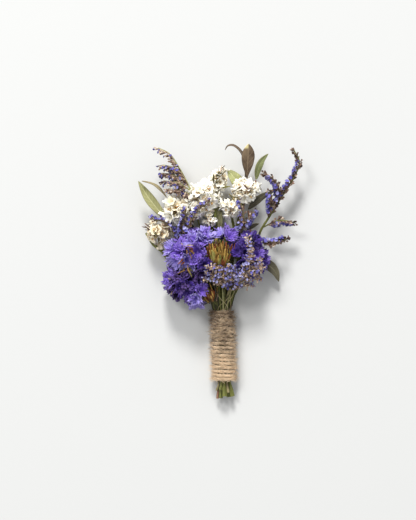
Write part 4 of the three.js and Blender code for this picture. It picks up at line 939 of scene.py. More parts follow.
# A funnel raised ring by ring from its foot, hollowed from its mouth, then ruffled and torn at its rim.
# The seed makes the crumples come out the same on every run.
def modelFunnel(name, plan, material, phase):
    draw = random.Random(f"{name} {phase}")
    noise.seed_set(ruffle["seed"])
    deselectAll()
    bpy.ops.mesh.primitive_circle_add(vertices=plan["columns"], radius=plan["foot"], fill_type="NGON",
                                      location=(0, 0, 0))
    funnel = bpy.context.object
    funnel.name = name
    bpy.ops.object.mode_set(mode="EDIT")
    bpy.ops.mesh.select_all(action="SELECT")
    wall = plan["wall"]
    inner = [(height + wall * ruffle["innerLift"], max(ruffle["leastRadius"], radius - wall))
             for height, radius in reversed(plan["rings"])]
    reached, width = 0.0, plan["foot"]
    for height, radius in plan["rings"] + inner:
        raiseFaces(height - reached, radius / width, height)
        reached, width = height, radius
    bpy.ops.object.mode_set(mode="OBJECT")
    mesh = funnel.data
    top = plan["rings"][-1][0]
    torn = [draw.uniform(-1, 1) for _ in range(plan["columns"])]
    alongs, creases = [], []
    for vertex in mesh.vertices:
        x, y, z = vertex.co
        share = min(1.0, max(0.0, z / top))
        angle = math.atan2(y, x)
        column = round(angle / math.tau * plan["columns"]) % plan["columns"]
        swell = max(0.0, (share - ruffle["from"]) / (1 - ruffle["from"])) ** ruffle["growth"]
        big = math.sin(plan["bigWaves"] * angle + phase)
        small = math.sin(plan["smallWaves"] * angle + ruffle["smallPhase"] * phase
                         + ruffle["smallSway"] * big)
        fine = math.sin(plan["fineWaves"] * angle + ruffle["finePhase"] * phase + small)
        wide = 1 + swell * sum(a * b for a, b in zip(plan["wide"], (big, small, fine)))
        lift = sum(a * b for a, b in zip(plan["high"], (small, fine, big)))
        lift = swell * top * (lift + plan["torn"] * torn[column] * swell)
        shaped = Vector((x * wide, y * wide, z + lift))
        place = vertex.co * plan["crumpleScale"] + Vector([phase * a for a in ruffle["crumplePlace"]])
        vertex.co = shaped + noise.noise_vector(place) * plan["crumple"] * swell
        alongs.append(share)
        # The crease value is high on ridges and low in folds, with a random streak per column. The petal
        # material uses it for painted fold shade and for the pleats' bumps.
        creases.append(swell * (0.5 * small + 0.5 * torn[column]))
    store(mesh, "along", alongs)
    store(mesh, "crease", creases)
    mesh.materials.append(material)
    activate(funnel)
    bpy.ops.object.shade_smooth()
    return funnel


# One violet flower: a ruffled calyx with a smaller frill in its throat.
def modelViolet(name, material, phase):
    outer = modelFunnel(name, calyx, material, phase)
    inner = modelFunnel(name, innerFrill, material, phase + innerFrill["laterPhase"])
    return joinAll([outer, inner])


# How flowers are spread over a head, and how heads give way to each other.
crowd = {"spiral": 2.39996, "spiralStray": 1.5, "middle": 4, "near": 26, "coreShare": 3,
         "coreDetail": 2}


# Directions spread evenly over the cap of a head, each strayed by a chance amount.
def headDirections(head, plan, draw):
    turn = zAxis.rotation_difference(Vector(head["axis"]).normalized())
    scatter = plan["scatter"]
    directions = []
    for k in range(head["flowers"]):
        level = 1 - (k + 0.5) / head["flowers"] * (1 - math.cos(plan["widest"]))
        polar = math.acos(max(-1.0, min(1.0, level))) + draw.uniform(-scatter, scatter)
        azimuth = k * crowd["spiral"] + draw.uniform(-crowd["spiralStray"], crowd["spiralStray"]) * scatter
        directions.append(turn @ Vector((math.sin(polar) * math.cos(azimuth),
                                         math.sin(polar) * math.sin(azimuth), math.cos(polar))))
    return directions + [Vector(direction).normalized() for direction in head.get("lower", [])]


# Whether a point lies too far past the plane that parts a head from one of its neighbours.
def pastNeighbour(own, point, allowed):
    def middle(head):
        return Vector(head["core"]) + Vector(head["axis"]).normalized() * crowd["middle"]

    def fullness(head):
        return head["scale"] + head["coreRadius"] / crowd["coreShare"]

    for head in list(violetBlooms.values()) + list(whiteHeads.values()):
        away = middle(head) - middle(own)
        if head is own or away.length > crowd["near"]:
            continue
        share = fullness(own) / (fullness(own) + fullness(head))
        if (point - middle(own) - away * share).dot(away.normalized()) > allowed:
            return True
    return False


bloom = {"widest": math.radians(106), "jut": 0.55, "allowed": 1.6, "length": 8.4, "scatter": 0.16,
         "heart": 1.15, "sizes": (0.84, 1.02), "lengths": (0.94, 1.02), "tone": (-0.5, 0.5),
         "fanRoom": 2.6, "fanReach": (-0.15, 1.1)}


# Whether a flower's mouth would stand in a fan of bracts.
def insideFan(point):
    first, last = bloom["fanReach"]
    for fan in bractFans.values():
        axis = Vector(fan["along"]).normalized()
        foot = Vector(fan["foot"])
        share = (point - foot).dot(axis) / fan["length"]
        aside = (point - foot - axis * share * fan["length"]).length
        if first < share < last and aside < fan["width"] + bloom["fanRoom"]:
            return True
    return False


# Some flowers of a bloom are paler or deeper than the rest, and a side may have a finish of its own.
def violetFinish(head, direction, draw):
    chance = draw.random()
    finish = head["finish"]
    pale = head.get("pale", 0.0)
    if chance < pale:
        finish = "lavender_petal"
    elif chance - pale < head.get("deep", 0.0):
        finish = "deep_violet_petal"
    for towards, other, least in head.get("sides", []):
        if direction.dot(Vector(towards).normalized()) > least:
            finish = other
    return finish


def makeBloom(node, head, violets, bracts, materials):
    draw = random.Random(node)
    core = Vector(head["core"])
    parts = [modelHeart(core, head["coreRadius"] * bloom["heart"], materials["green_stem"])]
    for direction in headDirections(head, bloom, draw):
        root = core + direction * head["coreRadius"] * bloom["jut"]
        size = head["scale"] * draw.uniform(*bloom["sizes"])
        mouth = root + direction * bloom["length"] * size
        if pastNeighbour(head, mouth, bloom["allowed"]) or insideFan(mouth):
            continue
        models = violets[violetFinish(head, direction, draw)]
        model = models[draw.randrange(len(models))]
        place = facing(root, direction, draw.uniform(0, math.tau), size, draw.uniform(*bloom["lengths"]))
        parts.append(grow(model, place, draw.uniform(*bloom["tone"])))
    parts += growTufts(head, bracts, draw)
    return finishPiece(node, parts)


tuft = {"spread": 1.3, "lean": 0.6, "sizes": (0.4, 0.7), "tone": (-0.4, 0.5)}


# Tufts of dry bracts between the flowers: (place, direction, finish, how many, how much lighter).
def growTufts(head, bracts, draw):
    parts = []
    for place, direction, finish, count, lighter in head.get("tufts", []):
        for _ in range(count):
            root = Vector(place) + strayVector(draw, tuft["spread"])
            lean = Vector(direction) + strayVector(draw, tuft["lean"])
            matrix = facing(root, lean, draw.uniform(0, math.tau), draw.uniform(*tuft["sizes"]))
            parts.append(grow(bracts[finish], matrix, lighter + draw.uniform(*tuft["tone"])))
    return parts


# The round core of a head, under its flowers.
def modelHeart(centre, radius, material):
    deselectAll()
    bpy.ops.mesh.primitive_ico_sphere_add(subdivisions=crowd["coreDetail"], radius=radius, location=centre)
    heart = bpy.context.object
    bpy.ops.object.transform_apply(location=True, rotation=False, scale=False)
    heart.data.materials.append(material)
    return heart


dryHeart = {"sides": 6, "foot": 0.15, "mouth": 0.55, "length": 1.6, "height": 3.6, "rimAbove": 4,
            "rises": (-0.25, 0.5), "widths": (0.6, 1.25, 1.25)}


# The dry heart of an open white flower, with a ragged rim.
def modelDryHeart(material):
    deselectAll()
    bpy.ops.mesh.primitive_cone_add(vertices=dryHeart["sides"], radius1=dryHeart["foot"],
                                    radius2=dryHeart["mouth"], depth=dryHeart["length"],
                                    location=(0, 0, dryHeart["height"]))
    heart = bpy.context.object
    heart.name = "dry_heart"
    bpy.ops.object.transform_apply(location=True, rotation=False, scale=False)
    for index, vertex in enumerate(heart.data.vertices):
        if vertex.co.z > dryHeart["rimAbove"]:
            vertex.co.z += dryHeart["rises"][index % 2]
            vertex.co.x *= dryHeart["widths"][index % 3]
    heart.data.materials.append(material)
    bpy.ops.object.shade_smooth()
    return heart


whiteHead = {"widest": math.radians(114), "scatter": 0.5, "length": 5.2, "allowed": 1.9,
             "depths": (0.1, 1.55), "heart": 1.1, "sizes": (0.55, 0.92), "lean": 0.35, "lengths": (0.95, 1.2),
             "tone": (-0.5, 0.5), "cream": 0.12, "dryHearts": 0.55, "calyces": 0.35, "beige": 0.85,
             "calyxSizes": (0.6, 0.9), "calyxLength": 0.95, "calyxTone": (-0.5, 0.3),
             "shortRoot": 0.6, "shortSize": 0.72}


def makeWhiteHead(node, head, cups, openHeart, bracts, materials):
    draw = random.Random(node)
    core = Vector(head["core"])
    parts = [modelHeart(core, head["coreRadius"] * whiteHead["heart"], materials["beige_calyx"])]
    for direction in headDirections(head, whiteHead, draw):
        root = core + direction * head["coreRadius"] * draw.uniform(*whiteHead["depths"])
        size = head["scale"] * draw.uniform(*whiteHead["sizes"])
        for towards, least in head.get("short", []):
            if direction.dot(Vector(towards).normalized()) > least:
                root = core + (root - core) * whiteHead["shortRoot"]
                size *= whiteHead["shortSize"]
        mouth = root + direction * whiteHead["length"] * size
        if pastNeighbour(head, mouth, whiteHead["allowed"]):
            continue
        lean = direction + strayVector(draw, whiteHead["lean"])
        place = facing(root, lean, draw.uniform(0, math.tau), size, draw.uniform(*whiteHead["lengths"]))
        models = cups["cream" if draw.random() < head.get("cream", whiteHead["cream"]) else "white"]
        parts.append(grow(models[draw.randrange(len(models))], place, draw.uniform(*whiteHead["tone"])))
        if draw.random() < whiteHead["dryHearts"]:
            parts.append(grow(openHeart, place, draw.uniform(*whiteHead["tone"])))
        if draw.random() < whiteHead["calyces"]:
            kind = "beige_calyx" if draw.random() < whiteHead["beige"] else "brown_calyx"
            spin = draw.uniform(0, math.tau)
            calyxSize = size * draw.uniform(*whiteHead["calyxSizes"])
            place = facing(root, direction, spin, calyxSize, whiteHead["calyxLength"])
            parts.append(grow(bracts[kind], place, draw.uniform(*whiteHead["calyxTone"])))
    parts += growTufts(head, bracts, draw)
    return finishPiece(node, parts)


# Sea lavender has brown or beige calyces, some with a small blue or pale corolla.
floretCalyx = {"sides": 6, "foot": 0.14, "mouth": 0.42, "length": 2.2, "flare": 0.7, "flareWidth": 1.6,
               "rim": 0.12, "depth": 0.7, "teethAbove": 2.7, "teeth": (-0.15, 0.35), "lid": 0.9,
               "sharpAngle": math.radians(60)}


def modelFloretCalyx(name, material):
    deselectAll()
    length = floretCalyx["length"]
    bpy.ops.mesh.primitive_cone_add(vertices=floretCalyx["sides"], radius1=floretCalyx["foot"],
                                    radius2=floretCalyx["mouth"], depth=length,
                                    location=(0, 0, length / 2), end_fill_type="NGON")
    calyxTube = bpy.context.object
    calyxTube.name = name
    bpy.ops.object.transform_apply(location=True, rotation=False, scale=False)
    bpy.ops.object.mode_set(mode="EDIT")
    bpy.ops.mesh.select_all(action="DESELECT")
    bpy.ops.object.mode_set(mode="OBJECT")
    for face in calyxTube.data.polygons:
        face.select = face.normal.z > floretCalyx["lid"]
    bpy.ops.object.mode_set(mode="EDIT")
    raiseFaces(floretCalyx["flare"], floretCalyx["flareWidth"], length + floretCalyx["flare"])
    hollowFaces(floretCalyx["rim"], floretCalyx["depth"])
    for index, vertex in enumerate(calyxTube.data.vertices):
        if vertex.co.z > floretCalyx["teethAbove"]:
            vertex.co.z += floretCalyx["teeth"][index % 2]
    calyxTube.data.materials.append(material)
    activate(calyxTube)
    bpy.ops.object.shade_smooth_by_angle(angle=floretCalyx["sharpAngle"])
    return calyxTube


corolla = {"sides": 10, "foot": 0.22, "height": 2.3, "steps": [(0.8, 2.3), (0.45, 1.9)], "rim": 0.25,
           "depth": 0.35, "lobes": 5, "lobesAbove": 2.9, "lobesBeyond": 0.45, "lobe": 0.36, "flatter": 0.8,
           "lobeRise": 0.3, "tilt": 0.35}


# A corolla is five lobes on a short throat, flatter one way and tilted.
def modelCorolla(name, material):
    deselectAll()
    bpy.ops.mesh.primitive_circle_add(vertices=corolla["sides"], radius=corolla["foot"], fill_type="NGON",
                                      location=(0, 0, corolla["height"]))
    flower = bpy.context.object
    flower.name = name
    bpy.ops.object.transform_apply(location=True, rotation=False, scale=False)
    bpy.ops.object.mode_set(mode="EDIT")
    bpy.ops.mesh.select_all(action="SELECT")
    height = corolla["height"]
    for rise, stretch in corolla["steps"]:
        height += rise
        raiseFaces(rise, stretch, height)
    hollowFaces(corolla["rim"], corolla["depth"])
    for vertex in flower.data.vertices:
        x, y, z = vertex.co
        if z > corolla["lobesAbove"] and math.hypot(x, y) > corolla["lobesBeyond"]:
            lobe = math.cos(corolla["lobes"] * math.atan2(y, x))
            vertex.co.x *= 1 + corolla["lobe"] * lobe
            vertex.co.y *= corolla["flatter"] * (1 + corolla["lobe"] * lobe)
            vertex.co.z += corolla["lobeRise"] * lobe + corolla["tilt"] * x
    flower.data.materials.append(material)
    activate(flower)
    bpy.ops.object.shade_smooth()
    return flower


spray = {"perCount": 3.6, "tilt": 0.95, "from": 0.14, "floretSize": 1.12, "lean": 0.55, "moreLean": 0.45,
         "rises": (-0.2, 0.8), "riseSpread": 0.4, "otherSide": -0.35, "first": 1.08, "smaller": 0.36,
         "sizes": (0.8, 1.05), "branchTone": (-0.4, 0.4), "tone": (-0.6, 0.5)}
# What a spray has where its plan says nothing else.
usualSpray = {"stem": "lavender_stem", "density": 1.0, "scatter": 0.0, "flip": 0.2, "brownTip": 0.0,
              "size": 1.0, "reach": (1, 1), "beige": 0.2, "pale": 0.2, "corolla": 1.0}


# Where the florets of a branch sit: in two close rows along it, most of them leaning to one side and up.
def floretPlaces(way, start, end, count, side, plan, draw):
    places = []
    for k in range(count):
        point, tangent = along(way, start + (end - start) * (k + 0.5) / count)
        across, up = crossways(tangent)
        lean = spray["lean"] + spray["moreLean"] * draw.random()
        rise = spray["rises"][k % 2] + spray["riseSpread"] * (draw.random() - 0.5)
        flipped = draw.random() < plan["flip"]
        if flipped:
            lean *= spray["otherSide"]
        stray = strayVector(draw, plan["scatter"])
        direction = (tangent * spray["tilt"] + across * (-side * lean) + up * rise + stray).normalized()
        blooming = not flipped and (k + 0.5) / count < 1 - plan["brownTip"]
        places.append((point, direction, spray["first"] - spray["smaller"] * k / count, blooming))
    return places


def makeSpray(node, plan, models, materials):
    draw = random.Random(node)
    plan = {**usualSpray, **plan}
    stem = smoothRoute(stalkPoints(plan["lane"], plan["way"]))
    finish = materials[plan["stem"]]
    parts = [strand(node, stem, finish)]
    paintCut(parts[0], materials["cut_end"])
    start, end, count, side = plan["flowers"]
    density = spray["perCount"] * plan["density"]
    places = floretPlaces(stem, start, end, round(count * density), side, plan, draw)
    for points, count, side in plan["branches"]:
        branch = smoothRoute(points)
        parts.append(strand(node, branch, finish, tone=draw.uniform(*spray["branchTone"])))
        places += floretPlaces(branch, spray["from"], 1.0, round(count * density), side, plan, draw)
    wider = Matrix.Diagonal((plan["corolla"], plan["corolla"], 1.0, 1.0))
    for point, direction, size, blooming in places:
        size *= spray["floretSize"] * plan["size"] * draw.uniform(*spray["sizes"])
        place = facing(point, direction, draw.uniform(0, math.tau), size, draw.uniform(*plan["reach"]))
        kind = "beige" if draw.random() < plan["beige"] else "brown"
        parts.append(grow(models[kind], place, draw.uniform(*spray["tone"])))
        if blooming and draw.random() < plan["blue"]:
            kind = "pale" if draw.random() < plan["pale"] else "blue"
            parts.append(grow(models[kind], place @ wider, draw.uniform(*spray["tone"])))
    return finishPiece(node, parts)


# A roll turns a leaf about its own length, and a fold lifts its edges.
leaves = {
    "leaf_left_broad": {"points": [(-28.5, 62.2, 7.4), (-32.4, 67, 8.8), (-37, 73, 9.8), (-41.2, 80, 10.4)],
                        "width": 5.2, "roll": 0.25, "finish": "olive_leaf"},
    "leaf_left_narrow": {"points": [(-27.6, 72.2, 9.2), (-30.6, 75.8, 10.6), (-34.8, 78.6, 11.8),
                                    (-39.4, 79.9, 12.6)],
                         "width": 3, "roll": 1.15, "finish": "tan_leaf"},
    "leaf_top_curled": {"points": [(10.9, 80.4, 7.2), (10.9, 85.4, 6.3), (10.3, 90, 7.6), (8, 94.8, 11),
                                   (4.6, 97.2, 12.6), (2, 96.8, 12.6), (0.9, 94.9, 12.2)],
                        "width": 2.6, "roll": 0.9, "finish": "brown_leaf"},
    "leaf_top_brown": {"points": [(11.7, 81.3, 8.3), (11.7, 87, 9.6), (12, 92.6, 10.4), (12.3, 98, 11)],
                       "width": 6.6, "roll": 0.15, "fold": 0.25, "taper": 1.45, "finish": "folded_leaf"},
    "leaf_top_green": {"points": [(16, 80.8, 8.5), (16.6, 85, 10), (18.4, 89.6, 10.8), (21.8, 93.2, 11)],
                       "width": 3.7, "roll": 0.45, "finish": "green_leaf"},
    "leaf_top_pale": {"points": [(8.3, 76.6, 5.4), (7, 79.4, 7), (4.6, 82.6, 8.4), (2, 85.6, 9.2)],
                      "width": 6.4, "roll": 0.35, "fold": 0.12, "finish": "pale_leaf"},
    "leaf_right_long": {"points": [(12.2, 66.3, 8.1), (15.6, 69.9, 10), (19.4, 72.8, 12), (24.2, 74.6, 13)],
                        "width": 3.6, "roll": 0.2, "finish": "dark_leaf"},
    "leaf_right_small": {"points": [(11.5, 56.4, 8.8), (13.4, 57.8, 9.8), (15.4, 58.8, 10.2),
                                    (17.4, 59.3, 10)],
                         "width": 2.4, "roll": 0.5, "finish": "dark_leaf"},
    "leaf_right_low": {"points": [(18.2, 40.3, 4), (21.6, 39.4, 4.8), (25.2, 36.2, 4.8), (27.3, 31, 3.8)],
                       "width": 5.2, "roll": -0.2, "fold": 0.3, "taper": 0.6, "finish": "dark_leaf"},
    "leaf_centre": {"points": [(-3, 50.5, 6.9), (-2.3, 57, 8.9), (-2, 65, 9.6), (-2.4, 71.6, 9.8)],
                    "width": 3.6, "roll": 0.1, "finish": "shaded_leaf"},
    "leaf_bloom_low": {"points": [(-5.6, 22, 6), (-10, 20.6, 5.4), (-15, 20.2, 5.6), (-19.4, 21.8, 6)],
                       "width": 2.6, "roll": 0.4, "finish": "dark_leaf"},
}

leafBuild = {"across": 8, "lengthwise": 30, "routeSteps": 10, "thickness": 0.34, "fold": 0.2, "taper": 0.85,
             "fullness": 0.75, "leastHalf": 0.06, "stalkShare": 0.12, "stalkHalf": 0.3, "groove": 0.12,
             "grooveNarrow": 4, "edgeWave": 0.12, "waves": 11}


def makeLeaf(node, plan, materials):
    deselectAll()
    bpy.ops.mesh.primitive_grid_add(x_subdivisions=leafBuild["across"], size=2, location=(0, 0, 0),
                                    y_subdivisions=leafBuild["lengthwise"])
    leaf = bpy.context.object
    way = smoothRoute([(*point, 1) for point in plan["points"]], leafBuild["routeSteps"])
    fold, taper = plan.get("fold", leafBuild["fold"]), plan.get("taper", leafBuild["taper"])
    phase = random.Random(node).uniform(0, math.tau)
    alongs, acrosses = [], []
    for vertex in leaf.data.vertices:
        across, share = vertex.co.x, (vertex.co.y + 1) / 2
        centre, tangent = along(way, share)
        side, up = crossways(tangent)
        turn = Matrix.Rotation(plan["roll"], 3, tangent)
        side, up = turn @ side, turn @ up
        bulge = math.sin(math.pi * min(1.0, share) ** taper) ** leafBuild["fullness"]
        half = max(leafBuild["leastHalf"], plan["width"] / 2 * bulge)
        if share < leafBuild["stalkShare"]:
            half = max(half, leafBuild["stalkHalf"])
        groove = leafBuild["groove"] * max(0.0, 1 - abs(across) * leafBuild["grooveNarrow"])
        lift = abs(across) * half * fold - groove
        wave = math.sin(share * leafBuild["waves"] + phase + across)
        lift += leafBuild["edgeWave"] * half * across * across * wave
        vertex.co = centre + side * across * half + up * lift
        alongs.append(share)
        acrosses.append(across)
    store(leaf.data, "along", alongs)
    store(leaf.data, "across", acrosses)
    leaf.data.materials.append(materials[plan["finish"]])
    thicken(leaf, leafBuild["thickness"])
    smooth = leaf.modifiers.new("smooth", "SUBSURF")
    smooth.levels = smooth.render_levels = 1
    activate(leaf)
    bpy.ops.object.modifier_apply(modifier="wall")
    bpy.ops.object.modifier_apply(modifier="smooth")
    bpy.ops.object.shade_smooth()
    return finishPiece(node, [leaf])


bract = {"across": 4, "lengthwise": 7, "half": 0.6, "edge": 0.05, "taper": 0.8, "keel": 0.45, "curl": 0.5,
         "length": 6.4, "thickness": 0.2, "sharpAngle": math.radians(40)}


# A lance-shaped bract along +Z, broad in X, keeled towards +Y.
def modelBract(name, material):
    deselectAll()
    bpy.ops.mesh.primitive_grid_add(x_subdivisions=bract["across"], y_subdivisions=bract["lengthwise"],
                                    size=2, location=(0, 0, 0))
    blade = bpy.context.object
    blade.name = name
    for vertex in blade.data.vertices:
        across, share = vertex.co.x, (vertex.co.y + 1) / 2
        half = bract["half"] * math.sin(math.pi * share ** bract["taper"]) ** bract["taper"] + bract["edge"]
        keel = bract["keel"] * (1 - across * across) + bract["curl"] * share * share
        vertex.co = (across * half, keel, share * bract["length"])
    blade.data.materials.append(material)
    thicken(blade, bract["thickness"])
    activate(blade)
    bpy.ops.object.modifier_apply(modifier="wall")
    bpy.ops.object.shade_smooth_by_angle(angle=bract["sharpAngle"])
    return blade


# Like facing, with the shape's +Y turned outwards.
def leaning(point, direction, outward, size):
    ahead = direction.normalized()
    side = outward.cross(ahead).normalized()
    turn = Matrix((side, ahead.cross(side), ahead)).transposed().to_4x4()
    return Matrix.Translation(point) @ turn @ Matrix.Scale(size, 4)


fanBuild = {"slimmest": 0.22, "belly": 0.88, "bellyFrom": 0.12, "bellyReach": 0.62, "narrower": 0.86,
            "middle": 0.4, "usualLength": 13.6, "stray": 0.15, "sizes": (0.85, 1.15), "tone": (-0.5, 0.6),
            "body": (0.75, 0.42, 0.7), "segments": 14, "rings": 10}


# The place on a fan at a share of its length, an angle round it and a share of the way out.
def onFan(fan, share, angle, out):
    axis = Vector(fan["along"]).normalized()
    side, up = crossways(axis)
    swell = math.sin(math.pi * min(1, fanBuild["bellyFrom"] + fanBuild["bellyReach"] * share))
    belly = fanBuild["slimmest"] + fanBuild["belly"] * swell
    return (Vector(fan["foot"]) + axis * fan["length"] * share
            + side * math.cos(angle) * fan["width"] * belly * out * fanBuild["narrower"]
            + up * math.sin(angle) * fan["depth"] * belly * out)


def makeBractFan(node, fan, bracts, materials):
    draw = random.Random(node)
    axis = Vector(fan["along"]).normalized()
    middle = Vector(fan["foot"]) + axis * fan["length"] * fanBuild["middle"]
    size = fan["length"] / fanBuild["usualLength"]
    parts = []
    for tier, (start, reach, count, out) in enumerate(fan["tiers"]):
        for k in range(count):
            stray = draw.uniform(-fanBuild["stray"], fanBuild["stray"])
            angle = math.tau * (k + 0.5 * (tier % 2)) / count + stray
            base = onFan(fan, start, angle, out)
            tip = onFan(fan, start + reach, angle, out * fan["spread"])
            outward = base - middle - axis * (base - middle).dot(axis)
            names = fan["finishes"]
            model = bracts[names[draw.randrange(len(names))]]
            place = leaning(base, tip - base, outward, size * draw.uniform(*fanBuild["sizes"]))
            parts.append(grow(model, place, fan["lighter"] + draw.uniform(*fanBuild["tone"])))
    deselectAll()
    bpy.ops.mesh.primitive_uv_sphere_add(segments=fanBuild["segments"], ring_count=fanBuild["rings"],
                                         radius=1, location=middle)
    body = bpy.context.object
    body.scale = [a * b for a, b in zip((fan["width"], fan["length"], fan["depth"]), fanBuild["body"])]
    body.rotation_euler = (math.asin(axis.z), 0, 0)
    bpy.ops.object.transform_apply(location=True, rotation=True, scale=True)
    body.data.materials.append(materials["rust_bract"])
    parts.append(body)
    return finishPiece(node, parts)


# The jute twine. A sway is (how far, how often, from where), and a crossing is (place, slope). The painted
# shade darkens the twine towards the flowers, and evenAt is where it is nil, as a share of the wrap's length
# above its middle.
twine = {"thickness": 1.86, "pitch": 2.06, "halfTurns": 9, "step": 0.62, "sink": 0.06, "sinkPace": 7.9,
         "sways": [(0.1, 5.3, 0), (0.08, 12.7, 1), (0.05, 23.0, 2)], "paintedShade": 1.9, "evenAt": 0.12,
         "seed": 1,
         "crossings": [(12.5, 0.3), (9.5, -0.34), (6.4, 0.2), (14.4, -0.16), (11, -0.5), (7.6, 0.44),
                       (13.6, 0.54), (10.2, 0.12), (8.4, 0.26), (12, -0.2)]}
ply = {"count": 4, "sides": 6, "radius": 0.46, "offset": 0.48, "twistLength": 7.0, "tone": (-0.3, 0.3),
       "swell": 0.12, "swellPace": 1.7, "swellShift": 2.1, "unevenness": 0.06, "apart": 3}
crossingBuild = {"points": 30, "from": 0.03, "reach": 0.94, "rise": 0.95, "steepness": 0.4, "under": 0.93,
                 "radius": 0.13, "firstSeed": 10}
fibre = {"count": 3400, "lengths": (1.0, 4.0), "radius": 0.085, "thinner": 0.2, "points": 4,
         "bends": (0.1, 0.08), "bendPaces": (1.1, 0.9), "depths": (0.3, 0.95), "ahead": 0.02, "rise": 0.9,
         "aside": 0.7, "tone": (-0.5, 0.6)}


# The middle of the twine after a number of turns, counted from the middle of the underside. The turns sway
# a little, and the last one at each end runs level, with its end underneath.
def twinePoint(turn, lift=0.0):
    angle = turn * math.tau - math.pi / 2
    past = max(0.0, abs(turn) - (twine["halfTurns"] - 1))
    level = math.copysign(abs(turn) - past * past / 2, turn)
    lengthwise = level / (twine["halfTurns"] - 0.5) * (bundle["wrapLength"] - twine["pitch"]) / 2
    sway = sum(most * math.sin(pace * turn + phase) for most, pace, phase in twine["sways"])
    reach = twine["thickness"] / 2 + twine["sink"] * (1 + math.sin(twine["sinkPace"] * turn)) - lift
    return inBundle(lengthwise + sway * (1 - past), (bundle["halfWidth"] - reach) * math.cos(angle),
                    (bundle["halfHeight"] - reach) * math.sin(angle))


# Painted shade: the twine's colour is darker towards the flowers, where their shadow falls on it, and lighter
# towards the cut ends.
def twineShadeTone(point):
    return twine["paintedShade"] * (twine["evenAt"] - upBundle(point) / bundle["wrapLength"])


# Twisted plies round a middle line, with the run of each ply kept for its fibres.
def plyRope(name, middle, material, radius, offset, seed):
    draw = random.Random(seed)
    lengths = [0.0]
    for a, b in zip(middle, middle[1:]):
        lengths.append(lengths[-1] + (b - a).length)
    parts = []
    sides, rings = ply["sides"], len(middle)
    for number in range(ply["count"]):
        points, runs, faces = [], [], []
        plyTone = draw.uniform(*ply["tone"])
        for i, centre in enumerate(middle):
            tangent = (middle[min(i + 1, rings - 1)] - middle[max(i - 1, 0)]).normalized()
            outward = outOfBundle(centre)
            beside = tangent.cross(outward).normalized()
            turn = lengths[i] / ply["twistLength"] * math.tau + math.tau * number / ply["count"]
            hub = centre + (outward * math.cos(turn) + beside * math.sin(turn)) * offset
            swell = ply["swell"] * math.sin(lengths[i] * ply["swellPace"] + number * ply["swellShift"])
            width = radius * (1 + swell + ply["unevenness"] * draw.uniform(-1, 1))
            for j in range(sides):
                angle = math.tau * j / sides + turn
                points.append(hub + (outward * math.cos(angle) + beside * math.sin(angle)) * width)
                runs += [math.cos(angle), lengths[i], math.sin(angle) + ply["apart"] * number]
        for i in range(rings - 1):
            for j in range(sides):
                a, b = i * sides + j, i * sides + (j + 1) % sides
                faces.append((a, b, b + sides, a + sides))
        faces.append(tuple(reversed(range(sides))))
        faces.append(tuple(range((rings - 1) * sides, rings * sides)))
        mesh = bpy.data.meshes.new(name)
        mesh.from_pydata([tuple(p) for p in points], [], faces)
        store(mesh, "run", runs, "FLOAT_VECTOR")
        # Each ply's own random tone, plus painted shade that darkens it towards the flowers.
        store(mesh, "tone", [plyTone + twineShadeTone(point) for point in points])
        mesh.materials.append(material)
        part = bpy.data.objects.new(name, mesh)
        bpy.context.collection.objects.link(part)
        activate(part)
        bpy.ops.object.mode_set(mode="EDIT")
        bpy.ops.mesh.select_all(action="SELECT")
        bpy.ops.mesh.normals_make_consistent(inside=False)
        bpy.ops.object.mode_set(mode="OBJECT")
        bpy.ops.object.shade_smooth()
        parts.append(part)
    return parts


# A loose strand over the close turns, low at its ends and proud of them in the middle.
def crossingLine(start, slope):
    line = []
    last = crossingBuild["points"] - 1
    for k in range(crossingBuild["points"]):
        angle = math.pi * (crossingBuild["from"] + crossingBuild["reach"] * k / last)
        arch = math.sin(math.pi * k / last) ** crossingBuild["steepness"]
        lift = crossingBuild["rise"] * arch - crossingBuild["under"]
        line.append(inBundle(start + slope * bundle["halfWidth"] * 2 * math.cos(angle),
                             (bundle["halfWidth"] + lift) * math.cos(angle),
                             (bundle["halfHeight"] + lift) * math.sin(angle)))
    return line


# One loose fibre, a millimetre long and thinner at its end, to be drawn out to its length.
def modelFibre(material):
    points = []
    for k in range(fibre["points"]):
        x, y = [bend * curve(k * pace) for bend, pace, curve
                in zip(fibre["bends"], fibre["bendPaces"], (math.sin, math.cos))]
        place = Vector((x, y, k / (fibre["points"] - 1)))
        points.append((place, fibre["radius"] * (1 - fibre["thinner"] * k)))
    return strand("fibre", points, material, roundness=0)


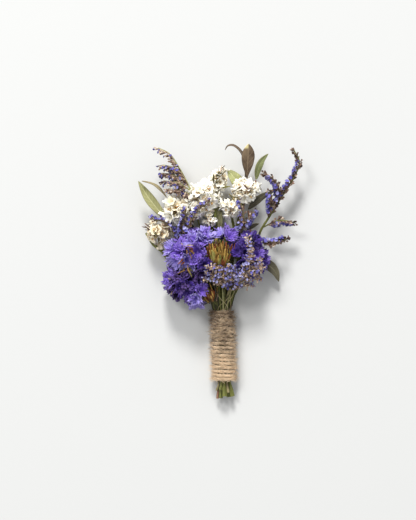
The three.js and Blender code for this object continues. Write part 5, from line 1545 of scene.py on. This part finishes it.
def makeTwine(material):
    draw = random.Random("twine")
    turns = twine["halfTurns"]
    around = math.tau * (bundle["halfWidth"] + bundle["halfHeight"]) / 2
    steps = int(2 * turns * around / twine["step"])
    middle = [twinePoint(-turns + 2 * turns * i / steps) for i in range(steps + 1)]
    parts = plyRope("twine", middle, material, ply["radius"], ply["offset"], twine["seed"])
    for number, crossing in enumerate(twine["crossings"]):
        radius, seed = crossingBuild["radius"], crossingBuild["firstSeed"] + number
        parts += plyRope("crossing", crossingLine(*crossing), material, radius, radius, seed)
    loose = modelFibre(material)
    for _ in range(fibre["count"]):
        turn = draw.uniform(-turns, turns)
        base = twinePoint(turn, draw.uniform(*fibre["depths"]))
        ahead = (twinePoint(turn + fibre["ahead"]) - twinePoint(turn - fibre["ahead"])).normalized()
        direction = (ahead * draw.choice((-1, 1)) + outOfBundle(base) * draw.uniform(0.0, fibre["rise"]) ** 2
                     + bundleAlong * draw.uniform(-fibre["aside"], fibre["aside"]))
        spin = draw.uniform(0, math.tau)
        place = facing(base, direction, spin, 1.0, draw.uniform(*fibre["lengths"]))
        # Each fibre takes the painted shade of the twine where it starts, plus a random tone.
        parts.append(grow(loose, place, twineShadeTone(base) + draw.uniform(*fibre["tone"])))
    bpy.data.objects.remove(loose)
    return finishPiece("twine_wrap", parts)


# Everything together.
makeStudio()
materials = makeMaterials()
section = wingedSection()
for node, plan in stalks.items():
    makeStalk(node, plan, materials, section)
print("stalks ready")

bracts = {finish: modelBract(finish, materials[finish])
          for finish in ("green_bract", "ochre_bract", "rust_bract", "olive_bract", "brown_calyx",
                         "beige_calyx")}
violets = {finish: [modelViolet(finish, materials[finish], calyx["phase"] + calyx["nextPhase"] * k)
                    for k in range(calyx["shapes"])]
           for finish in petals if finish not in ("white_petal", "cream_petal")}
for node, head in violetBlooms.items():
    makeBloom(node, head, violets, bracts, materials)
print("violet blooms ready")

cups = {tint: [modelFunnel(tint + "_cup", cup, materials[tint + "_petal"],
                           cup["phase"] + cup["nextPhase"] * k) for k in range(cup["shapes"])]
        for tint in ("white", "cream")}
openHeart = modelDryHeart(materials["orange_heart"])
for node, head in whiteHeads.items():
    makeWhiteHead(node, head, cups, openHeart, bracts, materials)
print("white heads ready")

florets = {"brown": modelFloretCalyx("brown_floret", materials["brown_calyx"]),
           "beige": modelFloretCalyx("beige_floret", materials["beige_calyx"]),
           "blue": modelCorolla("blue_corolla", materials["blue_corolla"]),
           "pale": modelCorolla("pale_corolla", materials["pale_corolla"])}
for node, plan in sprays.items():
    makeSpray(node, plan, florets, materials)
print("sea lavender ready")

for node, plan in leaves.items():
    makeLeaf(node, plan, materials)
for node, fan in bractFans.items():
    makeBractFan(node, fan, bracts, materials)
makeTwine(materials["jute"])
print("leaves, bracts and twine ready")

flowers = [flower for kinds in (*violets.values(), *cups.values()) for flower in kinds]
for model in [section, openHeart, *bracts.values(), *florets.values(), *flowers]:
    bpy.data.objects.remove(model)
